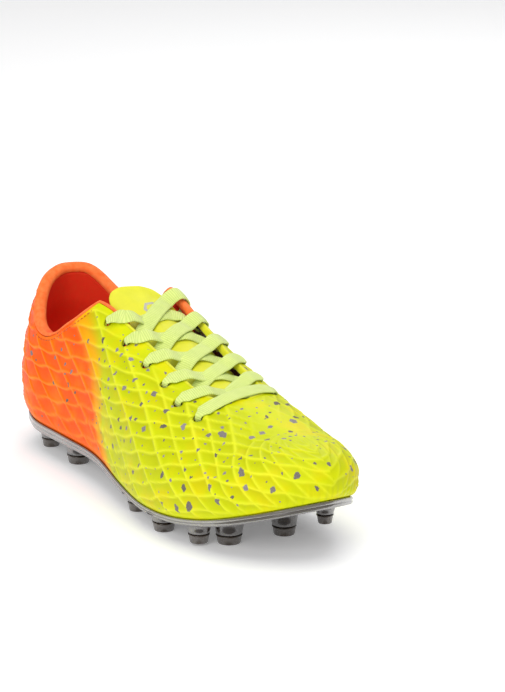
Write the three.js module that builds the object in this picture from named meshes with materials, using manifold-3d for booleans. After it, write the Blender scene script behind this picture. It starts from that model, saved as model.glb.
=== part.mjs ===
// A laced soccer cleat for the right foot, built from its separate pieces in millimetres.
// +X points to the toe, +Y to the inner (medial) side and +Z up; the studs stand on z = 0.
import * as THREE from 'three';
import { mergeVertices } from 'three/addons/utils/BufferGeometryUtils.js';
import Module from 'manifold-3d';

// ---- driving dimensions ------------------------------------------------------------------

const GAP = 0.3;              // clearance between pieces that touch
const SKIN = 1.4;             // moulded outer skin
const BACKER = 1.2;           // stiffeners and backing between skin and lining
const LINING = 0.8;
const COLLAR_PAD = 2.4;       // extra foam thickness around the ankle
const PLATE = 2.3;            // sole plate floor
const RIM = 1.3;              // wall of the sole plate's rim
const BOARD = 1.2;
const INSOLE = 3.2;
const INSOLE_COVER = 0.7;
const FOOTBED_INSET = 4.5;    // from the upper's lower edge in to the footbed's edge

const THROAT_START = 96.5;    // where the ankle opening's front corners are
const THROAT_END = 203;
const LINING_SPLIT = 117;     // quarter lining ends, vamp lining begins
const EYELET_R = 3;
const LACE_HALF_WIDTH = 4.2;
const LACE_HALF_THICKNESS = 0.6;

const TONGUE_DEPTH = 7.0;     // tongue face below the instep surface
const TONGUE_FACE = 0.8;
const TONGUE_FOAM = 2.6;
const TONGUE_GAP = 0.5;

// Lower edge of the upper seen from above: [share of the way round, x, y]. The walk starts at
// the back of the heel, runs along the outer side to the toe and returns on the inner side.
const OUTLINE = [
  [0.00, 3.5, 0], [0.035, 9.5, -18], [0.085, 29.5, -29.5], [0.16, 67.5, -32],
  [0.235, 107.5, -33.5], [0.31, 150, -40], [0.375, 187, -45], [0.43, 222, -42.5],
  [0.47, 254, -31.5], [0.495, 273.5, -14.5], [0.515, 282, 5], [0.535, 273.5, 21.6],
  [0.565, 254, 33], [0.61, 224.5, 39], [0.67, 190, 38], [0.735, 150, 29],
  [0.80, 108, 21], [0.865, 66, 23], [0.925, 28, 24], [0.965, 9.5, 16],
];
const TOE_SHARE = 0.515;
// Heights along the shoe: [x, z].
const FEATHER_Z = [
  [0, 18.5], [60, 18.5], [110, 18.5], [160, 13], [200, 13.5], [235, 19], [262, 27.5], [284, 36],
];
const CUP_DEPTH = [
  [0, 4], [60, 4], [110, 3], [160, 1.8], [200, 1.6], [235, 1.9], [262, 2.4], [284, 2.6],
];
const RIDGE_Z = [
  [34, 122], [60, 124], [85, 119], [100, 110], [120, 98], [150, 84], [180, 73.5], [206, 67],
  [240, 59],
];
const RIDGE_Y = [[30, 0], [120, 1], [180, 3], [240, 6]];
const RIDGE_ENDS = [34, 240];
// How the wall curves from the lower edge to the ridge: [share of the way round, value].
const BULGE = [
  [0, 5], [0.1, 4], [0.25, 3], [0.375, 4.5], [0.45, 4.5], [0.515, 4], [0.58, 4], [0.67, 3],
  [0.735, 6], [0.8, 9], [0.865, 8], [0.92, 6],
];
const BULGE_Z = [
  [0, 20], [0.2, 18], [0.375, 14], [0.47, 12], [0.515, 9], [0.56, 12], [0.67, 14], [0.8, 18],
];
const SQUARENESS = [
  [0, 1.9], [0.05, 1.7], [0.1, 1.8], [0.16, 2.1], [0.21, 2.4], [0.26, 2.9], [0.33, 2.7],
  [0.4, 2.3], [0.45, 2.1], [0.515, 2.4], [0.56, 2.3], [0.61, 2.4], [0.67, 2.8], [0.735, 3.6],
  [0.8, 3.4], [0.86, 2.6], [0.93, 2.0],
];
const WIDEST = 0.2;           // share of the wall's height parameter below its widest line
// Ankle opening, [x, z] on each side, then the throat's half width, [x, y from the ridge].
const TOPLINE = {
  '-1': [
    [3.5, 96], [8, 93], [14, 88.5], [20, 83.5], [28, 77], [38, 71.5], [50, 70], [60, 73],
    [72, 80.5], [85, 89], [96.5, 98.5],
  ],
  '1': [
    [3.5, 96], [10, 95.5], [14, 94], [21, 89.6], [27.5, 84], [38, 77], [50, 73.5], [62, 75],
    [75, 83], [85, 92], [96.5, 99.5],
  ],
};
const THROAT = [
  [96.5, 24.4], [111, 23], [126, 21.5], [146, 19.4], [162, 18.5], [185, 17.8], [194, 15.5],
  [200, 10], [203, 0],
];

// Eyelets from the ankle to the toe: [x, y].
const EYELETS = {
  '-1': [[110, -26.2], [130.5, -26.5], [151, -25.9], [170, -25.5], [186.5, -27.3], [204, -25.5]],
  '1': [[105, 25.7], [124, 26.4], [143, 27.6], [161, 28], [178, 28.2], [194, 27.6]],
};

// Studs: name, x, y, height of the tip's sole above the ground, radius of the tip's sole.
const STUDS = [
  ['heel_rear_outer', 31, -19.5, 0, 4.6], ['heel_rear_inner', 31, 16, 0, 4.6],
  ['heel_front_outer', 66, -21, 0, 5.7], ['heel_front_inner', 66, 13.5, 0, 5.7],
  ['forefoot_rear_outer', 155, -34, 0, 4.4], ['forefoot_rear_inner', 158, 23, 0, 4.6],
  ['forefoot_mid_outer', 190, -38, 0, 5.3], ['forefoot_mid_inner', 195, 31, 0, 5.3],
  ['forefoot_front_outer', 219, -34, 1.2, 4.8], ['forefoot_front_inner', 239, 30, 6, 3.7],
  ['forefoot_centre_outer', 224.6, -19.3, 0, 6.1], ['forefoot_centre_inner', 228, 12, 0, 5.6],
];
const TIP_HEIGHT = 5;
const STUD_SIDES = 16;
const ROLL_END = 121;         // how far the collar roll runs down the throat
const STUD_FLARE = 0.16;      // radius gained per millimetre up the stud

const COLOURS = {
  skin: '#dff01c', orange: '#f4592a', lace: '#d8f57a', plate: '#6f6661', tip: '#8d8680',
  board: '#cfc9b8', foam: '#f2e9d0', stiffener: '#e9e4da', insole: '#3b3b3d', aglet: '#d9e8a0',
};

const wasm = await Module();
wasm.setup();

// ---- curves and the last's surface -----------------------------------------------------------

// Smooth curve through [key, ...values] knots; a period makes it a closed walk.
function through(knots, key, period = 0) {
  const rows = period
    ? [[knots.at(-1)[0] - period, ...knots.at(-1).slice(1)], ...knots,
      [period + knots[0][0], ...knots[0].slice(1)], [period + knots[1][0], ...knots[1].slice(1)]]
    : knots;
  const first = period ? rows[1][0] : rows[0][0];
  const wrapped = period ? first + ((((key - first) % period) + period) % period) : key;
  const at = Math.min(Math.max(wrapped, rows[0][0]), rows.at(-1)[0]);
  let i = 0;
  while (i < rows.length - 2 && at > rows[i + 1][0]) i += 1;
  const width = rows[i + 1][0] - rows[i][0];
  const t = (at - rows[i][0]) / width;
  const slope = (j, c) => {
    const left = Math.max(j - 1, 0);
    const right = Math.min(j + 1, rows.length - 1);
    const across = (rows[right][c] - rows[left][c]) / (rows[right][0] - rows[left][0]);
    if (left === j || right === j) return across;
    const before = (rows[j][c] - rows[left][c]) / (rows[j][0] - rows[left][0]);
    const after = (rows[right][c] - rows[j][c]) / (rows[right][0] - rows[j][0]);
    const share = (rows[right][0] - rows[j][0]) / (rows[right][0] - rows[left][0]);
    return before * share + after * (1 - share);
  };
  const value = (c) => (2 * t ** 3 - 3 * t ** 2 + 1) * rows[i][c]
    + (t ** 3 - 2 * t ** 2 + t) * width * slope(i, c)
    + (3 * t ** 2 - 2 * t ** 3) * rows[i + 1][c]
    + (t ** 3 - t ** 2) * width * slope(i + 1, c);
  return rows[0].slice(1).map((_, c) => value(c + 1));
}

const along = (knots, x) => through(knots, x)[0];
const around = (knots, share) => through(knots, share, 1)[0];
const clamp = THREE.MathUtils.clamp;
const smooth = (x, low, high) => THREE.MathUtils.smoothstep(x, low, high);
const outline = (share) => new THREE.Vector2(...through(OUTLINE, share, 1));

// Share of the way round at which one side of the outline reaches x.
const shareCache = new Map();
function shareAt(x, side) {
  const key = `${x} ${side}`;
  if (shareCache.has(key)) return shareCache.get(key);
  let [low, high] = side < 0 ? [0, TOE_SHARE] : [1, TOE_SHARE];
  for (let i = 0; i < 40; i += 1) {
    const middle = (low + high) / 2;
    if (outline(middle).x < x) low = middle;
    else high = middle;
  }
  shareCache.set(key, (low + high) / 2);
  return shareCache.get(key);
}
const HEEL_X = outline(0).x;
const TOE_X = outline(TOE_SHARE).x;

const featherZ = (x) => along(FEATHER_Z, x);
const floorZ = (x) => featherZ(x) - along(CUP_DEPTH, x);

// One upright section of the wall: from the lower edge `base` towards the ridge.
const sectionCache = new Map();
function section(share) {
  if (sectionCache.has(share)) return sectionCache.get(share);
  const base = outline(share);
  const ridgeX = clamp(base.x, ...RIDGE_ENDS);
  const ridge = new THREE.Vector2(ridgeX, along(RIDGE_Y, ridgeX));
  const reach = base.distanceTo(ridge);
  const found = {
    base, reach, out: base.clone().sub(ridge).divideScalar(reach), ridge,
    foot: featherZ(base.x), top: along(RIDGE_Z, ridgeX), bulge: around(BULGE, share),
    rise: around(BULGE_Z, share), power: around(SQUARENESS, share),
  };
  sectionCache.set(share, found);
  return found;
}

// Point of the outer surface. Height runs from -1 (in the sole's cup) over 0 (the lower edge)
// and WIDEST (the widest line) to 1 (the ridge).
function surface(share, height) {
  const s = section(share);
  let offset = 0;
  let z = s.foot + Math.min(height, 0) * (s.foot - floorZ(s.base.x) - GAP);
  if (height > WIDEST) {
    const angle = Math.min((height - WIDEST) / (1 - WIDEST), 1) * Math.PI / 2;
    offset = (s.reach + s.bulge) * Math.max(Math.cos(angle), 0) ** (2 / s.power) - s.reach;
    z = s.foot + s.rise + (s.top - s.foot - s.rise) * Math.sin(angle) ** (2 / s.power);
  } else if (height > 0) {
    const angle = (1 - height / WIDEST) * Math.PI / 2;
    offset = s.bulge * Math.cos(angle);
    z = s.foot + s.rise * (1 - Math.sin(angle));
  }
  return new THREE.Vector3(s.base.x + s.out.x * offset, s.base.y + s.out.y * offset, z);
}

// Outward direction used for layering: level up to the widest line, then square to the surface.
function outward(share, height) {
  const s = section(share);
  const level = new THREE.Vector3(s.out.x, s.out.y, 0);
  if (height <= WIDEST) return level;
  if (height > 0.999) {
    const x = s.ridge.x;
    return new THREE.Vector3(along(RIDGE_Z, x - 4) - along(RIDGE_Z, x), 0, 4).normalize();
  }
  const across = surface(share + 0.003, height).sub(surface(share - 0.003, height));
  const up = surface(share, Math.min(height + 0.02, 0.995)).sub(surface(share, height - 0.02));
  const square = across.cross(up).normalize();
  return level.lerp(square, smooth(height, WIDEST, WIDEST + 0.15)).normalize();
}

// Point at `depth` under the smooth surface, on the side (-1 outer, 1 inner) and at x.
function smoothUnder(x, side, height, depth) {
  const share = shareAt(x, side);
  return surface(share, height).addScaledVector(outward(share, height), -depth);
}

// Height parameter at which a section reaches z, or comes within y of the ridge.
function heightAtZ(x, side, z) {
  const s = section(shareAt(x, side));
  const part = clamp((z - s.foot - s.rise) / (s.top - s.foot - s.rise), 0, 1);
  return WIDEST + (1 - WIDEST) * Math.asin(part ** (s.power / 2)) / (Math.PI / 2);
}
function heightAtGap(x, side, gap) {
  const s = section(shareAt(x, side));
  const part = clamp(gap / (s.reach + s.bulge), 0, 1);
  return WIDEST + (1 - WIDEST) * Math.acos(part ** (s.power / 2)) / (Math.PI / 2);
}
function edge(x, side) {
  if (x >= THROAT_END) return 1;
  if (x < THROAT_START) return heightAtZ(x, side, along(TOPLINE[side], x));
  return heightAtGap(x, side, along(THROAT, x));
}

// Every layer is built on one grid of facets, so that layers stay parallel. Its level runs from
// -1 (in the cup) over 0 (the lower edge) and WIDEST to 1 (the opening's edge or the ridge).
const LEVELS = [-1, 0, WIDEST, 0.34, 0.48, 0.6, 0.72, 0.86, 1];
const heightAt = (x, side, level) => (level <= WIDEST ? level
  : WIDEST + (edge(x, side) - WIDEST) * (level - WIDEST) / (1 - WIDEST));
const even = (from, to, count) => Array.from(
  { length: count + 1 },
  (_, i) => from + (to - from) * i / count,
);
const rounded = (centre, end, count) => even(0, Math.PI / 2, count)
  .map((turn) => centre + (end - centre) * Math.sin(turn));
const GRID_X = [
  ...rounded(60, HEEL_X, 6).reverse(), 72, 84, ...even(THROAT_START, 120.5, 3), ...even(134, 188, 4),
  THROAT_END - 3, THROAT_END, 221, ...rounded(RIDGE_ENDS[1], TOE_X, 5),
];

// Grid cell of a value: the line below it and how far it is to the next.
function cell(lines, value) {
  let i = 0;
  while (i < lines.length - 2 && value >= lines[i + 1]) i += 1;
  return [i, (value - lines[i]) / (lines[i + 1] - lines[i])];
}
function gridPoint(i, side, j, depth) {
  return smoothUnder(GRID_X[i], side, heightAt(GRID_X[i], side, LEVELS[j]), depth);
}
function under(x, side, level, depth) {
  const [i, s] = cell(GRID_X, x);
  const [j, t] = cell(LEVELS, level);
  const low = gridPoint(i, side, j, depth).lerp(gridPoint(i + 1, side, j, depth), s);
  const high = gridPoint(i, side, j + 1, depth).lerp(gridPoint(i + 1, side, j + 1, depth), s);
  return low.lerp(high, t);
}

// Instep surface as a height over the plan, and points under it.
function instepZ(x, y) {
  const across = y - along(RIDGE_Y, x);
  const s = section(shareAt(x, across < 0 ? -1 : 1));
  const part = Math.min(Math.abs(across) / (s.reach + s.bulge), 1);
  return s.foot + s.rise + (s.top - s.foot - s.rise) * (1 - part ** s.power) ** (1 / s.power);
}
function instepNormal(x, y) {
  const step = 1.5;
  const dx = (instepZ(x + step, y) - instepZ(x - step, y)) / (2 * step);
  const dy = (instepZ(x, y + step) - instepZ(x, y - step)) / (2 * step);
  return new THREE.Vector3(-dx, -dy, 1).normalize();
}
function instep(x, y, depth) {
  return new THREE.Vector3(x, y, instepZ(x, y)).addScaledVector(instepNormal(x, y), -depth);
}

// ---- solids --------------------------------------------------------------------------------------

function volume(points, faces) {
  let sum = 0;
  for (const [a, b, c] of faces) sum += points[a].dot(points[b].clone().cross(points[c]));
  return sum / 6;
}

// Closed geometry from points and triangles, turned to face outwards.
function closed(points, faces) {
  const facing = volume(points, faces) < 0 ? faces.map(([a, b, c]) => [a, c, b]) : faces;
  const geometry = new THREE.BufferGeometry();
  const flat = points.flatMap((p) => p.toArray());
  geometry.setAttribute('position', new THREE.Float32BufferAttribute(flat, 3));
  geometry.setIndex(facing.flat());
  return geometry;
}

// A layer of the upper: the grid's cells that `inside` accepts, from depth d0 to d1. Extra lines
// give it edges within a cell. Sides join at the heel, the toe and the ridge.
function layer({ sides = [-1, 1], x = [], levels = [], inside, d0, d1 }) {
  const xs = [...new Set([...GRID_X, ...x])].sort((a, b) => a - b);
  const rows = [...new Set([...LEVELS, ...levels])].sort((a, b) => a - b);
  const ids = new Map();
  const outer = [];
  const inner = [];
  const id = (at, side, level) => {
    const key = under(at, side, level, 0).toArray().map((v) => Math.round(v * 200)).join(' ');
    if (!ids.has(key)) {
      ids.set(key, outer.length);
      outer.push(under(at, side, level, d0(at, level)));
      inner.push(under(at, side, level, d1(at, level)));
    }
    return ids.get(key);
  };
  const faces = [];
  for (const side of sides) {
    for (let i = 0; i + 1 < xs.length; i += 1) {
      for (let j = 0; j + 1 < rows.length; j += 1) {
        if (!inside((xs[i] + xs[i + 1]) / 2, (rows[j] + rows[j + 1]) / 2)) continue;
        const corners = [[i, j], [i + 1, j], [i + 1, j + 1], [i, j + 1]]
          .map(([a, b]) => id(xs[a], side, rows[b]));
        if (side > 0) corners.reverse();
        faces.push([corners[0], corners[1], corners[2]], [corners[0], corners[2], corners[3]]);
      }
    }
  }
  const proper = faces.filter(([a, b, c]) => a !== b && b !== c && a !== c);
  const used = new Set(proper.flatMap(([a, b, c]) => [`${a} ${b}`, `${b} ${c}`, `${c} ${a}`]));
  const n = outer.length;
  const all = [...proper, ...proper.map(([a, b, c]) => [n + a, n + c, n + b])];
  for (const name of used) {
    const [a, b] = name.split(' ').map(Number);
    if (!used.has(`${b} ${a}`)) all.push([b, a, n + a], [b, n + a, n + b]);
  }
  return closed([...outer, ...inner], all);
}

// Body whose rings run round the whole shoe; the first and last ring are closed across.
function ringed(xs, rings) {
  const half = xs.length - 1;
  const walk = [...xs.map((x) => [x, -1]), ...xs.slice(1, -1).reverse().map((x) => [x, 1])];
  const count = walk.length;
  const points = rings.flatMap((ring) => walk.map(([x, side]) => ring(x, side)));
  const faces = [];
  for (let r = 0; r + 1 < rings.length; r += 1) {
    for (let i = 0; i < count; i += 1) {
      const [a, b] = [r * count + i, r * count + (i + 1) % count];
      faces.push([a, b, b + count], [a, b + count, a + count]);
    }
  }
  const across = (start, flip) => {
    for (let i = 0; i < half; i += 1) {
      const [a, b] = [start + i, start + i + 1];
      const [c, d] = [start + (count - i - 1) % count, start + (count - i) % count];
      const pair = i === 0 ? [[a, c, b]] : i === half - 1 ? [[a, d, b]] : [[a, d, b], [b, d, c]];
      faces.push(...pair.map((f) => (flip ? f.reverse() : f)));
    }
  };
  across(0, false);
  across((rings.length - 1) * count, true);
  return closed(points, faces);
}

// Solid swept through frames, each with its closed list of section points. A section that is a
// strip lists its `strip` upper points, then the lower ones in the opposite order.
function swept(sections, strip = 0) {
  const sides = sections[0].length;
  const faces = [];
  for (let i = 0; i + 1 < sections.length; i += 1) {
    for (let j = 0; j < sides; j += 1) {
      const [a, b] = [i * sides + j, i * sides + (j + 1) % sides];
      faces.push([a, b, b + sides], [a, b + sides, a + sides]);
    }
  }
  const cap = strip
    ? even(0, strip - 2, strip - 2)
      .flatMap((j) => [[j, sides - 1 - j, j + 1], [j + 1, sides - 1 - j, sides - 2 - j]])
    : even(1, sides - 2, sides - 3).map((j) => [0, j + 1, j]);
  const last = (sections.length - 1) * sides;
  faces.push(...cap, ...cap.map(([a, b, c]) => [last + a, last + c, last + b]));
  return closed(sections.flat(), faces);
}

function solid(geometry) {
  const bare = geometry.clone();
  bare.deleteAttribute('normal');
  bare.deleteAttribute('uv');
  const merged = mergeVertices(bare, 1e-4);
  const vertProperties = new Float32Array(merged.attributes.position.array);
  const triVerts = new Uint32Array(merged.index.array);
  return new wasm.Manifold(new wasm.Mesh({ numProp: 3, vertProperties, triVerts }));
}

function fromSolid(manifold) {
  const mesh = manifold.getMesh();
  const geometry = new THREE.BufferGeometry();
  geometry.setAttribute('position', new THREE.BufferAttribute(new Float32Array(mesh.vertProperties), 3));
  geometry.setIndex(Array.from(mesh.triVerts));
  return geometry;
}

const shoe = new THREE.Group();
function add(name, geometry, colour, roughness = 0.6) {
  const material = new THREE.MeshStandardMaterial({ color: colour, roughness, metalness: 0 });
  const mesh = new THREE.Mesh(geometry, material);
  mesh.name = name;
  shoe.add(mesh);
}

// ---- pieces --------------------------------------------------------------------------------------

const collarExtra = (x, level) => COLLAR_PAD * smooth(level, 0.5, 0.75) * (1 - smooth(x, 66, 86));
const LAYER2 = SKIN + GAP;
const LAYER3 = LAYER2 + BACKER + GAP;
const BACKER_LAYER = { d0: () => LAYER2, d1: () => LAYER2 + BACKER };
const LINING_LAYER = {
  d0: (x, v) => LAYER3 + collarExtra(x, v),
  d1: (x, v) => LAYER3 + LINING + collarExtra(x, v),
};
const SEAM = 0.012;           // half the gap between two layers, in levels

function outsolePlate() {
  const at = (depth, z) => (x, side) => under(x, side, -1, depth).setZ(z(x));
  let plate = solid(ringed(GRID_X, [
    at(-GAP, floorZ),
    at(-GAP, (x) => featherZ(x) - GAP),
    at(-GAP - RIM, (x) => featherZ(x) - GAP - 0.2),
    at(-GAP - RIM + 0.5, (x) => floorZ(x) - 0.8),
    at(2, (x) => floorZ(x) - PLATE),
  ]));
  for (const [, x, y, ground, radius] of STUDS) {
    const bottom = ground + TIP_HEIGHT + GAP;
    const top = floorZ(x) - PLATE / 2;
    const low = radius + STUD_FLARE * (TIP_HEIGHT + GAP);
    const base = new THREE.CylinderGeometry(low + 2.2, low, top - bottom, STUD_SIDES);
    base.rotateX(Math.PI / 2);
    base.translate(x, y, (top + bottom) / 2);
    plate = plate.add(solid(base));
  }
  return fromSolid(plate);
}

function studTip([, x, y, ground, radius]) {
  const top = radius + STUD_FLARE * TIP_HEIGHT;
  const profile = [[0, 0], [radius - 0.6, 0], [radius, 0.6], [top, TIP_HEIGHT], [0, TIP_HEIGHT]];
  const tip = new THREE.LatheGeometry(profile.map(([r, z]) => new THREE.Vector2(r, z)), STUD_SIDES);
  tip.rotateX(Math.PI / 2);
  tip.translate(x, y, ground);
  return fromSolid(solid(tip));
}

// A flat piece that fills the footbed's outline between two levels over the sole's floor.
function footbedLayer(level, thickness) {
  const at = (z) => (x, side) => under(x, side, -1, FOOTBED_INSET).setZ(floorZ(x) + z);
  return ringed(GRID_X, [at(level), at(level + thickness)]);
}

// Turns a cylinder's axis to a direction.
const UP_ITS_AXIS = new THREE.Vector3(0, 1, 0);
const upTo = (direction) => new THREE.Quaternion().setFromUnitVectors(UP_ITS_AXIS, direction);

function throatHoles(side) {
  let holes = null;
  for (const [x, y] of EYELETS[side]) {
    const rod = new THREE.CylinderGeometry(EYELET_R, EYELET_R, 12, 8);
    rod.applyQuaternion(upTo(instepNormal(x, y)));
    const centre = instep(x, y, 2);
    rod.translate(centre.x, centre.y, centre.z);
    holes = holes ? holes.add(solid(rod)) : solid(rod);
  }
  return holes;
}
const HOLES = throatHoles(-1).add(throatHoles(1));
const punched = (geometry) => fromSolid(solid(geometry).subtract(HOLES));

const upperSkin = () => layer({ inside: () => true, d0: () => 0, d1: () => SKIN });
const VAMP_START = LINING_SPLIT + GAP;
const quarterLining = () => layer({ x: [LINING_SPLIT], inside: (x) => x < LINING_SPLIT, ...LINING_LAYER });
const vampLining = () => layer({ x: [VAMP_START], inside: (x) => x > VAMP_START, ...LINING_LAYER });

const COUNTER_END = 74;
const COUNTER_TOP = 0.5;
const PADDING_END = 84;
const EYESTAY_LOW = 0.66;
const EYESTAY_START = THROAT_START + 2;
const PUFF_START = 236;
const heelCounter = () => layer({
  x: [COUNTER_END], levels: [COUNTER_TOP - SEAM],
  inside: (x, v) => x < COUNTER_END && v < COUNTER_TOP - SEAM, ...BACKER_LAYER,
});
const collarPadding = () => layer({
  levels: [COUNTER_TOP + SEAM], inside: (x, v) => x < PADDING_END && v > COUNTER_TOP + SEAM,
  d0: () => LAYER2, d1: (x, v) => LAYER2 + BACKER + collarExtra(x, v),
});
const toePuff = () => layer({ x: [PUFF_START], inside: (x) => x > PUFF_START, ...BACKER_LAYER });
const eyestay = (side) => layer({
  sides: [side], x: [EYESTAY_START], levels: [EYESTAY_LOW + SEAM],
  inside: (x, v) => x > EYESTAY_START && x < THROAT_END - 3 && v > EYESTAY_LOW + SEAM, ...BACKER_LAYER,
});
const upperBacking = () => layer({
  x: [PADDING_END + 2, EYESTAY_START - 1, PUFF_START - 1.5], levels: [EYESTAY_LOW - SEAM],
  inside: (x, v) => x > PADDING_END + 2 && x < PUFF_START - 1.5
    && (x < EYESTAY_START - 1 || x > THROAT_END || v < EYESTAY_LOW - SEAM),
  ...BACKER_LAYER,
});

// Soft roll that closes the layers along the ankle opening and the top of the throat.
function collarRoll() {
  const ankle = GRID_X.filter((x) => x <= THROAT_START);
  const throat = GRID_X.filter((x) => x > THROAT_START && x < ROLL_END);
  const line = [...ankle, ...throat];
  const path = [...line.map((x) => [x, -1]).reverse(), ...line.slice(1).map((x) => [x, 1])];
  const centres = path.map(([x, side]) => under(x, side, 1, 0));
  const sections = path.map(([x, side], i) => {
    const normal = centres[i].clone().sub(under(x, side, 1, 1)).normalize();
    const next = centres[Math.min(i + 1, path.length - 1)];
    const ahead = next.clone().sub(centres[Math.max(i - 1, 0)]).normalize();
    const away = new THREE.Vector3().crossVectors(ahead, normal).normalize();
    const inwards = normal.clone().negate();
    const wide = LAYER3 + LINING + collarExtra(x, 1);
    const tall = x > THROAT_START ? 1.8 : 3;
    const shape = [[-0.1, 0.4], [-0.1, 1.1], [0.14 * wide, 0.8 * tall], [0.5 * wide, tall],
      [0.86 * wide, 0.8 * tall], [wide + 0.1, 1.1], [wide + 0.1, 0.4]];
    return shape.map(([d, h]) => centres[i].clone().addScaledVector(inwards, d).addScaledVector(away, h));
  });
  return swept(sections);
}

const TONGUE_EDGE = [[97, 7.5], [98, 13], [100, 18], [103, 21.5], [108, 23.5], [125, 22.5], [160, 21.5], [214, 19]];
const TONGUE_XS = [97, 98, 100, 103, 106, ...even(109, 137, 7), ...even(146, 214, 7)];
const TONGUE_SIDES = 10;
const TONGUE_CROWN = 3.6;        // rise of the tongue's middle between the laces:
const CROWN_RISES = [97, 117];   // where along the shoe it starts
const CROWN_FALLS = [182, 200];  // and ends,
const CROWN_SIDES = [3, 16];     // and how far from the ridge it falls off
const TIE_SAG = 4;               // how far the top lace pulls the middle down,
const TIE_X = 116;               // where,
const TIE_REACH = 14;            // how far along
const TIE_SIDES = [6, 20];       // and how far across
const TIP_RUN = [97, 113];       // the tip's length along the shoe
const TIP_SINK = 1.8;            // it hangs this much lower than the instep,
const TIP_SHIFT = -3;            // leans outwards,
const TIP_SPREAD = 0.72;         // spreads flatter,
const TIP_TILT = 0.03;           // turns up on its outer side
const TIP_TURN = 0.28;           // and reaches back there

// Rise of the tongue's middle over the instep's own curve; the top lace ties it down.
function crown(x, y) {
  const off = Math.abs(y - along(RIDGE_Y, x));
  const ends = smooth(x, ...CROWN_RISES) * (1 - smooth(x, ...CROWN_FALLS));
  const tied = TIE_SAG * Math.exp(-(((x - TIE_X) / TIE_REACH) ** 2)) * (1 - smooth(off, ...TIE_SIDES));
  return TONGUE_CROWN * ends * (1 - smooth(off, ...CROWN_SIDES)) - tied;
}

// Place on the tongue, at a distance across it from the instep's ridge.
function tonguePoint(x, across, depth) {
  const tip = 1 - smooth(x, ...TIP_RUN);
  const narrow = 1 - (1 - TIP_SPREAD) * tip;
  const ridge = along(RIDGE_Y, x);
  const y = ridge + across * narrow;
  const at = instep(x, y, depth + TIP_SINK * tip - crown(x, y));
  const spread = (at.y - ridge) / narrow;
  const back = at.x + TIP_TURN * tip * spread;
  return at.set(back, ridge + TIP_SHIFT * tip + spread, at.z - TIP_TILT * tip * spread);
}

// A tongue layer, from edge to edge across the instep.
function tonguePiece(depth, thickness) {
  const across = even(-1, 1, TONGUE_SIDES);
  const grid = (d) => TONGUE_XS.map((x) => across.map((a) => tonguePoint(x, a * along(TONGUE_EDGE, x), d)));
  const [top, bottom] = [grid(depth), grid(depth + thickness)];
  const sections = top.map((row, i) => [...row, ...bottom[i].toReversed()]);
  return swept(sections, across.length);
}

// ---- lace ----------------------------------------------------------------------------------------

const LACE_OVER = -(2 * GAP + LACE_HALF_THICKNESS);
const LACE_INSIDE = LAYER3 + LINING + GAP + LACE_HALF_THICKNESS + 0.4;
const LACE_CLEAR = 1.1;       // between the lower strands and the tongue
const LACE_LOW = TONGUE_DEPTH - LACE_CLEAR - LACE_HALF_THICKNESS;
const LACE_HIGH = LACE_LOW - 2 * LACE_HALF_THICKNESS - GAP;

const flat = (v, normal) => v.clone().addScaledVector(normal, -v.dot(normal)).normalize();

// Depth under the instep along a crossing: `done` and `left` are the ways from the throat's two
// edges, positive over the tongue. It starts inside the shoe and ends over the other edge.
function strandDepth(kind, done, left, rise) {
  if (kind === 'bar') return LACE_OVER;
  const centre = (kind === 'inner' ? LACE_HIGH : LACE_LOW) - rise;
  const start = THREE.MathUtils.lerp(LACE_INSIDE, centre, smooth(done, 0.5, 14));
  return THREE.MathUtils.lerp(LACE_OVER, start, smooth(left, 2, 15));
}

const START_STEPS = [5, 9.5, 14, 18, 22.5];
const END_STEPS = [21, 18.2, 16, 13.6, 11.4, 9, 6.8, 4.6];

function strand(from, to, kind) {
  const length = Math.hypot(to[0] - from[0], to[1] - from[1]);
  const at = (way) => [0, 1].map((c) => from[c] + (to[c] - from[c]) * way / length);
  const open = ([x, y]) => Math.abs(y - along(RIDGE_Y, x)) < along(THROAT, x);
  const ways = even(0, length, 120).filter((way) => open(at(way)));
  const steps = kind === 'bar' ? END_STEPS.toReversed() : START_STEPS;
  return [...steps, ...END_STEPS.map((s) => length - s)].map((way) => {
    const [x, y] = at(way);
    const depth = strandDepth(kind, way - ways[0], ways.at(-1) - way, crown(x, y));
    return { at: instep(x, y, depth), normal: instepNormal(x, y), half: LACE_HALF_WIDTH };
  });
}

// Turn of the lace through one eyelet, from one strand's heading to the next one's.
function turn([x, y], from, to) {
  const hole = instep(x, y, 0);
  const normal = instepNormal(x, y);
  const arriving = flat(hole.clone().sub(from), normal);
  const leaving = flat(to.clone().sub(hole), normal);
  const place = (direction, forward, depth, half) => ({
    at: hole.clone().addScaledVector(direction, forward).addScaledVector(normal, -depth), half, hole: true,
  });
  return [
    place(arriving, -2.4, LACE_OVER, 2.5), place(arriving, -0.9, LACE_OVER + 0.35, 2.1),
    place(arriving, -0.1, 0.3, 2), place(leaving, 0.1, LACE_INSIDE - 1.6, 2),
    place(leaving, 0.9, LACE_INSIDE - 0.35, 2.2), place(leaving, 2.4, LACE_INSIDE, 2.7),
  ];
}

// Loose end tucked inside the shoe: down the lining, then forwards along it.
const TAIL = [
  [0, 0.9], [0.5, 0.8], [2, 0.7], [6, 0.6], [13, 0.52], [22, 0.47], [32, 0.44], [43, 0.42],
  [55, 0.4],
];
function tail(side) {
  const [x0] = EYELETS[side][0];
  return TAIL.map(([forward, level], i) => {
    const x = x0 + forward;
    const at = under(x, side, level, LACE_INSIDE + Math.min(i, 4) * 0.3);
    return { at, normal: under(x, side, level, 0).sub(under(x, side, level, 1)).normalize(), half: 3.2 };
  });
}

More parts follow.
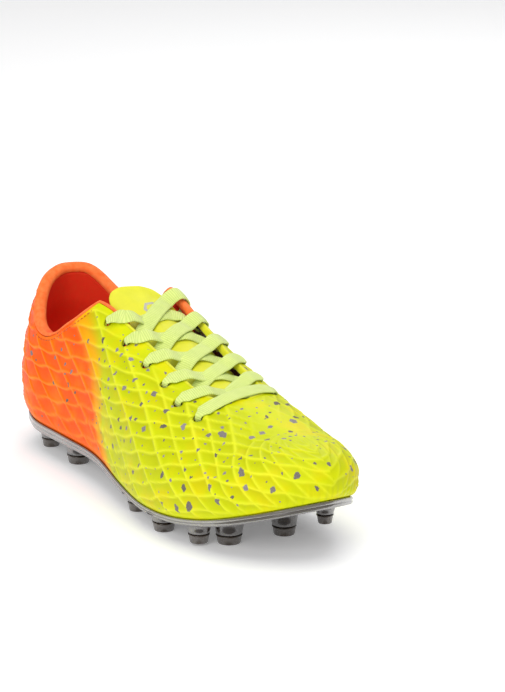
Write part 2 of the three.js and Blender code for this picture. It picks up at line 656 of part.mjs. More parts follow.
// Half of the lace: from the bottom eyelet of one side up to the top one, then inside.
function laceHalf(side) {
  const points = [];
  let here = side;
  let before = instep(...EYELETS[-side][5], LACE_OVER);
  for (let row = 5; row >= 0; row -= 1) {
    const eyelet = EYELETS[here][row];
    const next = row > 0 ? EYELETS[-here][row - 1] : null;
    const end = next ? [] : tail(here);
    const target = next ? instep(...next, 0) : end[1].at;
    points.push(...turn(eyelet, before, target));
    if (next) points.push(...strand(eyelet, next, here < 0 ? 'inner' : 'outer'));
    points.push(...end.slice(1));
    before = instep(...eyelet, 0);
    here = -here;
  }
  return points;
}

function laceSections() {
  const bar = strand(EYELETS[1][5], EYELETS[-1][5], 'bar');
  const route = [...laceHalf(1).reverse(), ...bar, ...laceHalf(-1)];
  const ahead = route.map((_, i) => {
    const [a, b] = [route[Math.max(i - 1, 0)], route[Math.min(i + 1, route.length - 1)]];
    return b.at.clone().sub(a.at).normalize();
  });
  const across = (p, i) => new THREE.Vector3().crossVectors(p.normal, ahead[i]).normalize();
  const widths = route.map((p, i) => (p.hole ? null : across(p, i)));
  alignWidths(widths, ahead);
  return route.map((p, i) => {
    const thick = new THREE.Vector3().crossVectors(ahead[i], widths[i]).normalize();
    const [w, t] = [p.half, LACE_HALF_THICKNESS];
    const shape = [[-w, 0], [-0.8 * w, -t], [0.8 * w, -t], [w, 0], [0.8 * w, t], [-0.8 * w, t]];
    return shape.map(([a, b]) => p.at.clone().addScaledVector(widths[i], a).addScaledVector(thick, b));
  });
}

// Widths keep one hand along the lace and turn evenly through each eyelet.
function alignWidths(widths, ahead) {
  let last = null;
  widths.forEach((w) => {
    if (!w) return;
    if (last && w.dot(last) < 0) w.negate();
    last = w;
  });
  let start = 0;
  while (start < widths.length) {
    let end = start;
    while (end < widths.length && !widths[end]) end += 1;
    for (let i = start; i < end; i += 1) {
      const share = (i - start + 1) / (end - start + 1);
      const mixed = widths[start - 1].clone().lerp(widths[end], share);
      widths[i] = flat(mixed, ahead[i]);
    }
    start = end + 1;
  }
}

const AGLET_LENGTH = 20;
function aglet(side) {
  const end = tail(side);
  const [a, b] = [end.at(-2).at, end.at(-1).at];
  const ahead = b.clone().sub(a).normalize();
  const rod = new THREE.CylinderGeometry(1.7, 1.7, AGLET_LENGTH, 10);
  rod.applyQuaternion(upTo(ahead));
  const centre = b.clone().addScaledVector(ahead, AGLET_LENGTH / 2 + GAP);
  rod.translate(centre.x, centre.y, centre.z);
  return fromSolid(solid(rod));
}

// ---- assembly ------------------------------------------------------------------------------------

add('outsole_plate', outsolePlate(), COLOURS.plate, 0.25);
for (const stud of STUDS) add(`stud_tip_${stud[0]}`, studTip(stud), COLOURS.tip, 0.3);
add('lasting_board', footbedLayer(GAP, BOARD), COLOURS.board, 0.9);
add('sockliner', footbedLayer(2 * GAP + BOARD, INSOLE), COLOURS.insole, 0.9);
add('sockliner_cover', footbedLayer(3 * GAP + BOARD + INSOLE, INSOLE_COVER), COLOURS.orange, 0.9);
add('upper_skin', punched(upperSkin()), COLOURS.skin, 0.5);
add('heel_counter', heelCounter(), COLOURS.stiffener, 0.7);
add('toe_puff', toePuff(), COLOURS.stiffener, 0.7);
add('upper_backing', punched(upperBacking()), COLOURS.foam, 0.9);
add('eyestay_outer', punched(eyestay(-1)), COLOURS.stiffener, 0.8);
add('eyestay_inner', punched(eyestay(1)), COLOURS.stiffener, 0.8);
add('collar_padding', collarPadding(), COLOURS.foam, 0.95);
add('collar_roll', collarRoll(), COLOURS.orange, 0.85);
add('quarter_lining', punched(quarterLining()), COLOURS.orange, 0.9);
add('vamp_lining', punched(vampLining()), COLOURS.orange, 0.9);
add('tongue_face', tonguePiece(TONGUE_DEPTH, TONGUE_FACE), COLOURS.skin, 0.6);
add('tongue_foam', tonguePiece(TONGUE_DEPTH + TONGUE_FACE + TONGUE_GAP, TONGUE_FOAM), COLOURS.foam, 0.95);
const TONGUE_BACK = TONGUE_DEPTH + TONGUE_FACE + TONGUE_FOAM + 2 * TONGUE_GAP;
add('tongue_lining', tonguePiece(TONGUE_BACK, LINING), COLOURS.orange, 0.9);
add('lace', swept(laceSections()), COLOURS.lace, 0.8);
add('aglet_outer', aglet(-1), COLOURS.aglet, 0.4);
add('aglet_inner', aglet(1), COLOURS.aglet, 0.4);

// The frame's origin is the middle of the ground under the shoe.
const box = new THREE.Box3().setFromObject(shoe);
const middle = box.getCenter(new THREE.Vector3());
for (const mesh of shoe.children) mesh.geometry.translate(-middle.x, -middle.y, 0);

export default shoe;
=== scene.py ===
"""Looks of the laced soccer cleat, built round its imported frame, in metres."""
import math

import bpy
import numpy as np
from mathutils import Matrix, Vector


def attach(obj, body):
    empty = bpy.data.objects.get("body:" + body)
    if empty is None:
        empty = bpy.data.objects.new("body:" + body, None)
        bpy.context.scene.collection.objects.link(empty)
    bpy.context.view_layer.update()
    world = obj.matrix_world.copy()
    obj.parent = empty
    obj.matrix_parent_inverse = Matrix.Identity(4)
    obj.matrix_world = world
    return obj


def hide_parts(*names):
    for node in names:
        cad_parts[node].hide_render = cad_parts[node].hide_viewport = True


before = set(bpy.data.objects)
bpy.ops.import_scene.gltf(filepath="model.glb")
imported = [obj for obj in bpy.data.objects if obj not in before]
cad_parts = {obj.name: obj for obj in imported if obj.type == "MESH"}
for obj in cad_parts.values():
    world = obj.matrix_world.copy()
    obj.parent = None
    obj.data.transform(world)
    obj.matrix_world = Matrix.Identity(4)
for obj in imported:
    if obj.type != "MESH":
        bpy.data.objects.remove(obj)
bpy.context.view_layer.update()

FINE = 2

# ---- camera, floor and light ----

scene = bpy.context.scene
scene.view_settings.view_transform = "Standard"
scene.view_settings.look = "None"

VIEW_AZIMUTH = math.radians(-31.2)
VIEW_ELEVATION = math.radians(16.96)
VIEW_DISTANCE = 1.8
VIEW_TARGET = Vector((-0.00225, 0.04349, 0.04))
FOCAL_LENGTH, SENSOR_WIDTH = 172.98, 36
AIM_RIGHT, AIM_UP = 0.00552, 0.03427   # the picture's middle lies this far from the target
WORLD_STRENGTH = 0.5
LIGHTS = {                             # place, aim, diameter and watts
    "overhead": ((0.25, -0.1, 1.3), (0, 0, 0), 1.3, 9),
    "left_front": ((0.9, -1.3, 0.9), (0, 0, 0.04), 0.9, 10),
    "right_back": ((-0.9, 0.9, 0.9), (0, 0, 0.05), 0.7, 3),
}
FLOOR_REACH = 30


def make_camera():
    back = Vector((
        math.cos(VIEW_ELEVATION) * math.cos(VIEW_AZIMUTH),
        math.cos(VIEW_ELEVATION) * math.sin(VIEW_AZIMUTH),
        math.sin(VIEW_ELEVATION),
    ))
    right = (-back).cross(Vector((0, 0, 1))).normalized()
    up = right.cross(-back)
    place = VIEW_TARGET + back * VIEW_DISTANCE
    aim = VIEW_TARGET + right * AIM_RIGHT + up * AIM_UP
    camera = bpy.data.objects.new("camera", bpy.data.cameras.new("camera"))
    camera.data.lens = FOCAL_LENGTH
    camera.data.sensor_width = SENSOR_WIDTH
    camera.data.clip_start, camera.data.clip_end = 0.05, 100
    camera.location = place
    camera.rotation_mode = "QUATERNION"
    camera.rotation_quaternion = (aim - place).to_track_quat("-Z", "Y")
    scene.collection.objects.link(camera)
    scene.camera = camera


def area_light(name, place, target, size, watts):
    lamp = bpy.data.lights.new(name, "AREA")
    lamp.shape, lamp.size, lamp.energy = "DISK", size, watts
    light = bpy.data.objects.new(name, lamp)
    light.location = place
    light.rotation_euler = (Vector(target) - Vector(place)).to_track_quat("-Z", "Y").to_euler()
    scene.collection.objects.link(light)


def make_studio():
    world = bpy.data.worlds.new("studio")
    world.use_nodes = True
    sky = world.node_tree.nodes["Background"].inputs
    sky["Color"].default_value = (1, 1, 1, 1)
    sky["Strength"].default_value = WORLD_STRENGTH
    scene.world = world
    for name, settings in LIGHTS.items():
        area_light(name, *settings)


# ---- node materials ----


def linear(code):
    """Linear colour of a hex code such as #ff8800."""
    parts = [int(code[i:i + 2], 16) / 255 for i in (1, 3, 5)]
    return [c / 12.92 if c <= 0.04045 else ((c + 0.055) / 1.055) ** 2.4 for c in parts] + [1.0]


class Shader:
    """A Principled material that is put together node by node."""

    def __init__(self, name, **values):
        self.material = bpy.data.materials.new(name)
        self.material.use_nodes = True
        self.tree = self.material.node_tree
        self.surface = self.tree.nodes["Principled BSDF"]
        for key, value in values.items():
            self.set(key.replace("_", " "), value)
        self.place = self.add("TexCoord").outputs["Object"]

    def add(self, kind, inputs=None, **settings):
        made = self.tree.nodes.new("ShaderNode" + kind)
        for key, value in settings.items():
            setattr(made, key, value)
        for key, value in (inputs or {}).items():
            self.put(value, made.inputs[key])
        return made

    def put(self, value, socket):
        """Links a socket, or sets it to a number or to a colour's hex code."""
        if isinstance(value, bpy.types.NodeSocket):
            self.tree.links.new(value, socket)
        else:
            socket.default_value = linear(value) if isinstance(value, str) else value

    def set(self, key, value):
        self.put(value, self.surface.inputs[key])

    def noise(self, scale, detail):
        made = self.add("TexNoise", {"Vector": self.place, "Scale": scale, "Detail": detail})
        return made.outputs["Fac"]

    def cloud(self, scale, detail, to_low=0.0, to_high=1.0):
        """Noise spread over the whole range between two values."""
        return self.span(self.noise(scale, detail), 0.3, 0.7, to_low, to_high)

    def field(self, name):
        return self.add("Attribute", attribute_name=name).outputs["Fac"]

    def maths(self, operation, a, b=0.0):
        return self.add("Math", {0: a, 1: b}, operation=operation).outputs[0]

    def plus(self, a, b):
        return self.maths("ADD", a, b)

    def times(self, a, b):
        return self.maths("MULTIPLY", a, b)

    def span(self, value, low, high, to_low=0.0, to_high=1.0):
        made = self.add("MapRange", {"Value": value, "From Min": low, "From Max": high,
                                     "To Min": to_low, "To Max": to_high})
        return made.outputs["Result"]

    def mix(self, factor, a, b):
        made = self.add("Mix", data_type="RGBA")
        for socket, value in zip((made.inputs[0], made.inputs[6], made.inputs[7]), (factor, a, b)):
            self.put(value, socket)
        return made.outputs[2]

    def finish(self, colour, height, depth, strength):
        """The material with its colour and a bump of this height field."""
        self.set("Base Color", colour)
        made = self.add("Bump", {"Height": height, "Distance": depth, "Strength": strength})
        self.set("Normal", made.outputs["Normal"])
        return self.material


YELLOW, ORANGE, DEEP_ORANGE, LINING_LIGHT = "#dae10a", "#ff6602", "#f43008", "#f0380c"
LACE_RIB, LACE_THREAD = 1.2, 0.7       # widths in millimetres


def skin_material():
    """Moulded film: orange heel running into yellow, painted highlight on the net's ridges, painted shade
    in its cells, printed flecks.
    """
    s = Shader("moulded_skin", IOR=1.46, Specular_IOR_Level=0.1)
    cloud = s.noise(60, 3)
    blend = s.span(s.plus(s.field("yellow"), s.span(cloud, 0.3, 0.7, -0.05, 0.05)), 0.0, 1.0)
    body = s.mix(blend, ORANGE, s.mix(s.span(cloud, 0.35, 0.65), YELLOW, "#ccd509"))
    middle = s.times(s.times(blend, s.maths("SUBTRACT", 1.0, blend)), 3.4)
    body = s.mix(s.maths("MINIMUM", middle, 0.85), body, "#ffb602")
    # Painted highlight: the net's ridges are tinted towards a lighter, lit colour.
    lit = s.mix(blend, "#ff9a22", "#eef13a")
    body = s.mix(s.times(s.field("ridge_highlight"), 0.6), body, lit)
    # Painted shade: each cell of the net is darker towards its top, under the ridge above it.
    shade = s.mix(blend, "#ee4400", "#a9ae03")
    body = s.mix(s.times(s.field("hollow_shade"), 0.75), body, shade)
    edge = s.plus(s.field("fleck"), s.cloud(1300, 2, -0.3, 0.3))
    ink = s.span(edge, -0.1, 0.1, 1.0, 0.0)
    tone = s.mix(s.field("tone"), "#554e38", "#8f878c")
    grain = s.span(s.noise(2600, 2), 0.35, 0.65)
    body = s.mix(ink, body, s.mix(s.times(grain, 0.3), tone, "#aaa4ac"))
    s.set("Roughness", s.cloud(400, 2, 0.36, 0.5))
    return s.finish(body, s.plus(s.noise(3500, 2), s.times(s.noise(900, 2), 0.8)), 0.00006, 0.5)


def suede_material(name, base, light, sheen):
    """Brushed cloth; where its inward field is 1, the cloth is painted in the lining's deep orange as
    painted shade on the collar roll's inner half.
    """
    s = Shader(name, Roughness=0.85, Sheen_Weight=sheen, Sheen_Roughness=0.45, Sheen_Tint=light)
    cloth = s.mix(s.cloud(350, 4), base, light)
    colour = s.mix(s.field("inward_shade"), cloth, DEEP_ORANGE)
    return s.finish(colour, s.plus(s.noise(4200, 3), s.noise(700, 2)), 0.00012, 0.6)


def knit_material(name, base, light, pitch=0.0009):
    """Knitted cloth: rows of small loops across each other."""
    s = Shader(name, Roughness=0.8, Sheen_Weight=0.2)
    xyz = s.add("SeparateXYZ", {0: s.place}).outputs
    turns = 2 * math.pi / pitch
    across = s.maths("SINE", s.times(xyz["X"], turns))
    down = s.maths("SINE", s.times(s.plus(xyz["Y"], xyz["Z"]), turns))
    loops = s.times(across, down)
    colour = s.mix(s.span(s.plus(loops, s.noise(500, 3)), -0.5, 1.5), base, light)
    return s.finish(colour, loops, 0.00012, 0.7)


def lace_material():
    """Flat weave: ribs across the lace and finer threads along it."""
    s = Shader("woven_lace", Roughness=0.72, Sheen_Weight=0.3)
    ribs = s.maths("SINE", s.times(s.field("ahead"), 2 * math.pi / LACE_RIB))
    threads = s.maths("SINE", s.times(s.field("across"), 2 * math.pi / LACE_THREAD))
    weave = s.plus(s.times(ribs, 0.75), s.times(threads, 0.35))
    # Painted shade: the weave's grooves are coloured darker, mixed with random mottle.
    shade = s.span(s.plus(weave, s.cloud(300, 3, -0.3, 0.3)), -1.6, 0.8)
    colour = s.mix(shade, "#c0d864", "#e6f48c")
    return s.finish(colour, s.plus(weave, s.times(s.noise(5000, 2), 0.6)), 0.00016, 0.8)


def microfibre_material():
    """Smooth yellow face; the field `mark` is the distance from the printed mark's line."""
    s = Shader("tongue_microfibre", Roughness=0.55, Sheen_Weight=0.15)
    yellow = s.mix(s.cloud(160, 3), "#dcdc10", "#e6e41a")
    silver = s.mix(s.cloud(2500, 2), "#a9a69c", "#c4c2bc")
    colour = s.mix(s.span(s.field("mark"), 0.75, 0.95, 1.0, 0.0), yellow, silver)
    return s.finish(colour, s.plus(s.noise(3800, 2), s.noise(900, 2)), 0.0001, 0.5)


def smoky_material(name, colour, light, clearness):
    """Smoky, glossy, half clear plastic; the field `rim` is 1 where it is pale, partly the thin rim's
    lighter plastic and partly painted highlight lines.
    """
    s = Shader(name, IOR=1.5, Specular_IOR_Level=0.4, Transmission_Weight=clearness,
               Coat_Weight=0.2, Coat_Roughness=0.08)
    body = s.mix(s.times(s.cloud(90, 4), 0.5), colour, light)
    s.set("Roughness", s.span(s.noise(260, 4), 0.3, 0.75, 0.08, 0.26))
    return s.finish(s.mix(s.field("rim"), body, "#77736c"), s.noise(350, 3), 0.0002, 0.35)


def plain_material(name, base, light, rough, grain, depth=0.00008):
    """Mottled sheet or foam; `grain` is the scale of its surface noise."""
    s = Shader(name)
    s.set("Roughness", s.cloud(grain / 3, 2, rough - 0.06, min(rough + 0.06, 1)))
    return s.finish(s.mix(s.cloud(grain / 6, 4), base, light), s.noise(grain, 3), depth, 0.6)


def floor_material():
    """Pale paper, lit a little from within so that shadows stay soft."""
    s = Shader("floor_paper", Roughness=0.75, Emission_Color="#ffffff", Emission_Strength=0.19)
    s.set("Base Color", s.mix(s.noise(6, 2), "#fdfdfe", "#ffffff"))
    return s.material


def make_floor(paper):
    mesh = bpy.data.meshes.new("floor")
    corners = [(x * FLOOR_REACH, y * FLOOR_REACH, 0) for x, y in ((-1, -1), (1, -1), (1, 1), (-1, 1))]
    mesh.from_pydata(corners, [], [(0, 1, 2, 3)])
    mesh.materials.append(paper)
    floor = bpy.data.objects.new("floor", mesh)
    scene.collection.objects.link(floor)


# ---- the upper's surface, in millimetres along the last ----

OUTLINE = [
    (0.00, 3.5, 0), (0.035, 9.5, -18), (0.085, 29.5, -29.5), (0.16, 67.5, -32),
    (0.235, 107.5, -33.5), (0.31, 150, -40), (0.375, 187, -45), (0.43, 222, -42.5),
    (0.47, 254, -31.5), (0.495, 273.5, -14.5), (0.515, 282, 5), (0.535, 273.5, 21.6),
    (0.565, 254, 33), (0.61, 224.5, 39), (0.67, 190, 38), (0.735, 150, 29),
    (0.80, 108, 21), (0.865, 66, 23), (0.925, 28, 24), (0.965, 9.5, 16),
]
TOE_SHARE = 0.515
# x, height of the upper's lower edge and depth of the plate's cup under it.
LOWER_EDGE = [(0, 18.5, 4), (60, 18.5, 4), (110, 18.5, 3), (160, 13, 1.8), (200, 13.5, 1.6),
              (235, 19, 1.9), (262, 27.5, 2.4), (284, 36, 2.6)]
RIDGE_Z = [(34, 122), (60, 124), (85, 119), (100, 110), (120, 98), (150, 84), (180, 73.5), (206, 67),
           (240, 59)]
RIDGE_Y = [(30, 0), (120, 1), (180, 3), (240, 6)]
RIDGE_ENDS = (34, 240)
BULGE = [(0, 5), (0.1, 4), (0.25, 3), (0.375, 4.5), (0.45, 4.5), (0.515, 4), (0.58, 4), (0.67, 3),
         (0.735, 6), (0.8, 9), (0.865, 8), (0.92, 6)]
BULGE_Z = [(0, 20), (0.2, 18), (0.375, 14), (0.47, 12), (0.515, 9), (0.56, 12), (0.67, 14), (0.8, 18)]
SQUARENESS = [(0, 1.9), (0.05, 1.7), (0.1, 1.8), (0.16, 2.1), (0.21, 2.4), (0.26, 2.9), (0.33, 2.7),
              (0.4, 2.3), (0.45, 2.1), (0.515, 2.4), (0.56, 2.3), (0.61, 2.4), (0.67, 2.8), (0.735, 3.6),
              (0.8, 3.4), (0.86, 2.6), (0.93, 2.0)]
WIDEST = 0.2
TOPLINE = {
    -1: [(3.5, 96), (8, 93), (14, 88.5), (20, 83.5), (28, 77), (38, 71.5), (50, 70), (60, 73), (72, 80.5),
         (85, 89), (96.5, 98.5)],
    1: [(3.5, 96), (10, 95.5), (14, 94), (21, 89.6), (27.5, 84), (38, 77), (50, 73.5), (62, 75), (75, 83),
        (85, 92), (96.5, 99.5)],
}
THROAT = [(96.5, 24.4), (111, 23), (126, 21.5), (146, 19.4), (162, 18.5), (185, 17.8), (194, 15.5),
          (200, 10), (203, 0)]
THROAT_START, THROAT_END = 96.5, 203
HEEL_FRONT = 60
GAP = 0.3                              # clearance between the layers


def curve(knots, at, period=0):
    """Smooth curve through (key, values...) knots, evaluated for an array of keys."""
    rows = np.array(knots, float)
    at = np.asarray(at, float)
    if period:
        at = np.mod(at - rows[0, 0], period) + rows[0, 0]
        before, after = rows[-1:].copy(), rows[:2].copy()
        before[:, 0] -= period
        after[:, 0] += period
        rows = np.concatenate([before, rows, after])
    key, values = rows[:, 0], rows[:, 1:]
    width = np.diff(key)
    rate = np.diff(values, axis=0) / width[:, None]
    slope = np.zeros_like(values)
    slope[1:-1] = rate[:-1] * width[1:, None] + rate[1:] * width[:-1, None]
    slope[1:-1] /= (width[:-1] + width[1:])[:, None]
    slope[0], slope[-1] = rate[0], rate[-1]
    at = np.clip(at, key[0], key[-1])
    i = np.clip(np.searchsorted(key, at, side="right") - 1, 0, len(key) - 2)
    h = width[i][..., None]
    t = ((at - key[i]) / width[i])[..., None]
    return ((2 * t**3 - 3 * t**2 + 1) * values[i] + (t**3 - 2 * t**2 + t) * h * slope[i]
            + (3 * t**2 - 2 * t**3) * values[i + 1] + (t**3 - t**2) * h * slope[i + 1])


def along(knots, x):
    return curve(knots, x)[..., 0]


def around(knots, share):
    return curve(knots, share, 1)[..., 0]


def smooth(x, low, high):
    """0 below low, 1 above high and an even bend between them."""
    t = np.clip((x - low) / (high - low), 0, 1)
    return t * t * (3 - 2 * t)


def feather_z(x):
    """Height of the upper's lower edge."""
    return curve(LOWER_EDGE, x)[..., 0]


def floor_z(x):
    """Height of the floor of the plate's cup."""
    edge = curve(LOWER_EDGE, x)
    return edge[..., 0] - edge[..., 1]


def unit(v):
    return v / np.maximum(np.linalg.norm(v, axis=-1, keepdims=True), 1e-9)


def lerp(a, b, t):
    """The value a share t of the way from a to b."""
    return a + (b - a) * t


def circle(count):
    return np.linspace(0, 2 * np.pi, count + 1)[:-1]


def arc_length(points):
    """Distance along a line of points, at every point."""
    return np.concatenate([[0], np.cumsum(np.linalg.norm(np.diff(points, axis=0), axis=1))])


class Wall:
    """The upright sections of the upper's outer surface at an array of shares."""

    def __init__(self, share):
        self.share = np.asarray(share, float)
        base = curve(OUTLINE, self.share, 1)
        self.x, self.y = base[..., 0], base[..., 1]
        self.side = np.where(np.mod(self.share, 1) < TOE_SHARE, -1, 1)
        self.ridge_x = np.clip(self.x, *RIDGE_ENDS)
        self.ridge_y = along(RIDGE_Y, self.ridge_x)
        dx, dy = self.x - self.ridge_x, self.y - self.ridge_y
        self.reach = np.hypot(dx, dy)
        self.out_x, self.out_y = dx / self.reach, dy / self.reach
        self.foot, self.top = feather_z(self.x), along(RIDGE_Z, self.ridge_x)
        self.bulge, self.rise = around(BULGE, self.share), around(BULGE_Z, self.share)
        self.power = around(SQUARENESS, self.share)

    def surface(self, height):
        """Points at a height between the lower edge, 0, and the ridge, 1; below 0 into the cup."""
        low = np.clip(height, 0, WIDEST)
        a_low = (1 - low / WIDEST) * np.pi / 2
        a_high = np.clip((height - WIDEST) / (1 - WIDEST), 0, 1) * np.pi / 2
        cos, sin = np.maximum(np.cos(a_high), 0), np.sin(a_high)
        off_high = (self.reach + self.bulge) * cos ** (2 / self.power) - self.reach
        z_high = self.foot + self.rise + (self.top - self.foot - self.rise) * sin ** (2 / self.power)
        off_low = self.bulge * np.cos(a_low) * (height > 0)
        z_low = self.foot + self.rise * (1 - np.sin(a_low))
        z_low = z_low + np.minimum(height, 0) * (self.foot - floor_z(self.x) - GAP)
        up = height > WIDEST
        offset = np.where(up, off_high, off_low)
        z = np.where(up, z_high, z_low)
        return np.stack([self.x + self.out_x * offset, self.y + self.out_y * offset, z], -1)

    def outward(self, height):
        """Unit normals out of the surface."""
        level = np.stack([self.out_x, self.out_y, 0 * self.x], -1)
        right, left = Wall(self.share + 0.003), Wall(self.share - 0.003)
        across = right.surface(height) - left.surface(height)
        up = self.surface(np.minimum(height + 0.02, 0.995)) - self.surface(height - 0.02)
        square = unit(np.cross(across, up))
        blend = smooth(height, WIDEST, WIDEST + 0.15)[..., None]
        mixed = unit(level * (1 - blend) + square * blend)
        ridge = unit(np.stack([along(RIDGE_Z, self.ridge_x - 4) - along(RIDGE_Z, self.ridge_x),
                               0 * self.x, 0 * self.x + 4], -1))
        return np.where((height > 0.999)[..., None], ridge, mixed)

    def height_at_z(self, z):
        """Height at which the wall reaches a z above its widest line."""
        part = np.clip((z - self.foot - self.rise) / (self.top - self.foot - self.rise), 0, 1)
        return WIDEST + (1 - WIDEST) * np.arcsin(part ** (self.power / 2)) / (np.pi / 2)

    def height_at_gap(self, gap):
        """Height at which the wall is this far from the ridge's line."""
        part = np.clip(gap / (self.reach + self.bulge), 0, 1)
        return WIDEST + (1 - WIDEST) * np.arccos(part ** (self.power / 2)) / (np.pi / 2)

    def edge(self):
        """Height of the upper's edge: the topline, then the throat, then the closed ridge."""
        outer, inner = along(TOPLINE[-1], self.x), along(TOPLINE[1], self.x)
        ankle = self.height_at_z(np.where(self.side < 0, outer, inner))
        throat = self.height_at_gap(along(THROAT, self.x))
        found = np.where(self.x < THROAT_START, ankle, throat)
        return np.where(self.x >= THROAT_END, 1.0, found)

    def height_of(self, level):
        """Height for a level that is 1 at the edge."""
        return np.where(level <= WIDEST, level,
                        WIDEST + (self.edge() - WIDEST) * (level - WIDEST) / (1 - WIDEST))

    def under(self, level, depth):
        """Points at a depth under the surface."""
        height = self.height_of(level)
        return self.surface(height) - self.outward(height) * np.asarray(depth)[..., None]


# ---- meshes from arrays ----

SHIFT = np.array([142.25, -3.49, 0.0])   # from the last's millimetres to the row frame


def weld(points, faces):
    """One vertex where several meet, without the faces that this closes up."""
    keys = np.round(points * 200).astype(np.int64)
    _, first, index = np.unique(keys, axis=0, return_index=True, return_inverse=True)
    index = index.reshape(-1)
    kept = []
    for face in faces:
        ring = [int(index[v]) for v in face]
        ring = [v for i, v in enumerate(ring) if v != ring[i - 1]]
        if len(set(ring)) > 2:
            kept.append(ring)
    return points[first], kept, first


def piece(name, points, faces, surface, body="boot", stands_for=(), fields=None):
    """A smooth mesh object from points in the last's millimetres, riding on a CAD body."""
    points, faces, first = weld(np.asarray(points, float), faces)
    mesh = bpy.data.meshes.new(name)
    mesh.from_pydata(((points - SHIFT) / 1000).tolist(), [], faces)
    for key, values in (fields or {}).items():
        stored = mesh.attributes.new(key, "FLOAT", "POINT")
        stored.data.foreach_set("value", np.asarray(values, np.float32).reshape(-1)[first])
    mesh.polygons.foreach_set("use_smooth", np.ones(len(mesh.polygons), bool))
    mesh.materials.append(surface)
    made = bpy.data.objects.new(name, mesh)
    scene.collection.objects.link(made)
    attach(made, body)
    if stands_for:
        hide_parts(*stands_for)
    return made


def sheet_faces(rows, columns, ring=False, flip=False):
    """Quads of a rows x columns grid of points; a ring closes its columns."""
    last = rows if ring else rows - 1
    i, j = np.meshgrid(np.arange(last), np.arange(columns - 1), indexing="ij")
    a = i * columns + j
    b = ((i + 1) % rows) * columns + j
    quads = np.stack([a, b, b + 1, a + 1], -1).reshape(-1, 4)
    return (quads[:, ::-1] if flip else quads).tolist()


def shell(outer, inner, keep=None, ring=False):
    """Points and faces of a closed layer between two grids of points, for the quads to keep."""
    rows, columns = outer.shape[:2]
    quads = sheet_faces(rows, columns, ring=ring)
    if keep is not None:
        quads = [q for q, k in zip(quads, np.asarray(keep).reshape(-1)) if k]
    count = rows * columns
    points = np.concatenate([outer.reshape(-1, 3), inner.reshape(-1, 3)])
    _, merged, first = weld(points[:count], quads)
    edges = {(f[i - 1], f[i]) for f in merged for i in range(len(f))}
    spare = [(first[a], first[b]) for a, b in edges if (b, a) not in edges]
    faces = [[int(first[v]) for v in f] for f in merged]
    faces += [[v + count for v in reversed(f)] for f in faces]
    faces += [[int(b), int(a), int(a) + count, int(b) + count] for a, b in spare]
    return points, faces


def ring_faces(count, sides):
    """Quads between successive rings of points."""
    i, j = np.meshgrid(np.arange(count - 1), np.arange(sides), indexing="ij")
    a, b = i * sides + j, i * sides + (j + 1) % sides
    return np.stack([a, a + sides, b + sides, b], -1).reshape(-1, 4).tolist()


def tube(sections):
    """Points and faces of a solid through rings of points."""
    count, sides = len(sections), len(sections[0])
    ends = [list(range(sides)), [(count - 1) * sides + j for j in reversed(range(sides))]]
    return np.concatenate(sections), ring_faces(count, sides) + ends


def join(parts):
    """Points and faces of several solids as one."""
    points, faces, count = [], [], 0
    for p, f in parts:
        points.append(p)
        faces += [[v + count for v in face] for face in f]
        count += len(p)
    return np.concatenate(points), faces


# ---- the upper's grid ----

TABLE = np.linspace(0, 1, 20001)
TABLE_XY = curve(OUTLINE, TABLE, 1)
TABLE_ARC = arc_length(TABLE_XY)
OUTER_HALF = TABLE <= TOE_SHARE


def share_of(x, side):
    """Share of the way round the outline at x on the outer side, -1, or the inner side, 1."""
    outer = np.interp(x, TABLE_XY[OUTER_HALF, 0], TABLE[OUTER_HALF])
    inner = np.interp(x, TABLE_XY[~OUTER_HALF, 0][::-1], TABLE[~OUTER_HALF][::-1])
    return np.where(np.asarray(side) < 0, outer, inner)


def even_shares(start, end, step):
    """Shares at even steps of about this length along the outline, without the last one."""
    arc = np.interp([start, end], TABLE, TABLE_ARC)
    count = max(int(abs(arc[1] - arc[0]) / step), 2)
    return np.interp(np.linspace(*arc, count + 1)[:-1], TABLE_ARC, TABLE)


def ring_shares(step):
    """Shares all round the shoe; both sides have the same x from the throat's end to the toe's ridge."""
    shared = np.linspace(THROAT_END, RIDGE_ENDS[1], int((RIDGE_ENDS[1] - THROAT_END) / step) + 1)
    outer, inner = share_of(shared, -1), share_of(shared[::-1], 1)
    return np.concatenate([even_shares(0, outer[0], step), outer[:-1],
                           even_shares(outer[-1], TOE_SHARE, step),
                           even_shares(TOE_SHARE, inner[0], step), inner[:-1],
                           even_shares(inner[-1], 1, step)])


class Grid:
    """The wall at every share and level, with what the relief and the colours need."""

    def __init__(self, step, levels):
        shares = ring_shares(step)
        self.levels = np.asarray(levels, float)
        self.wall = Wall(np.repeat(shares[:, None], len(self.levels), 1))
        self.level = np.broadcast_to(self.levels, self.wall.x.shape)
        self.height = self.wall.height_of(self.level)
        self.at = self.wall.surface(self.height)
        self.out = self.wall.outward(self.height)

    def depth(self, d):
        return self.at - self.out * np.broadcast_to(d, self.level.shape)[..., None]

    def middles(self):
        """x and level of every quad's middle."""
        x, level = self.wall.x, self.level
        nxt = np.roll(x, -1, 0)
        return (x[:, :-1] + nxt[:, :-1]) / 2, (level[:, :-1] + level[:, 1:]) / 2

    def climb(self):
        """Distance up the wall from the lower edge, in millimetres."""
        steps = np.linalg.norm(np.diff(self.at, axis=1), axis=-1)
        rise = np.concatenate([np.zeros((len(steps), 1)), np.cumsum(steps, 1)], 1)
        foot = np.argmin(np.abs(self.levels))
        return rise - rise[:, foot:foot + 1]

    def forward(self):
        """Distance along the lower edge, equal to x at the heel's front and the same on both sides."""
        def from_heel(share, side):
            arc = np.interp(share, TABLE, TABLE_ARC)
            return np.where(side < 0, arc, TABLE_ARC[-1] - arc)

        side = self.wall.side
        start = from_heel(share_of(HEEL_FRONT, side), side)
        return from_heel(np.mod(self.wall.share, 1), side) - start + HEEL_FRONT


# ---- the moulded net of ridges, the colours and the printed flecks ----

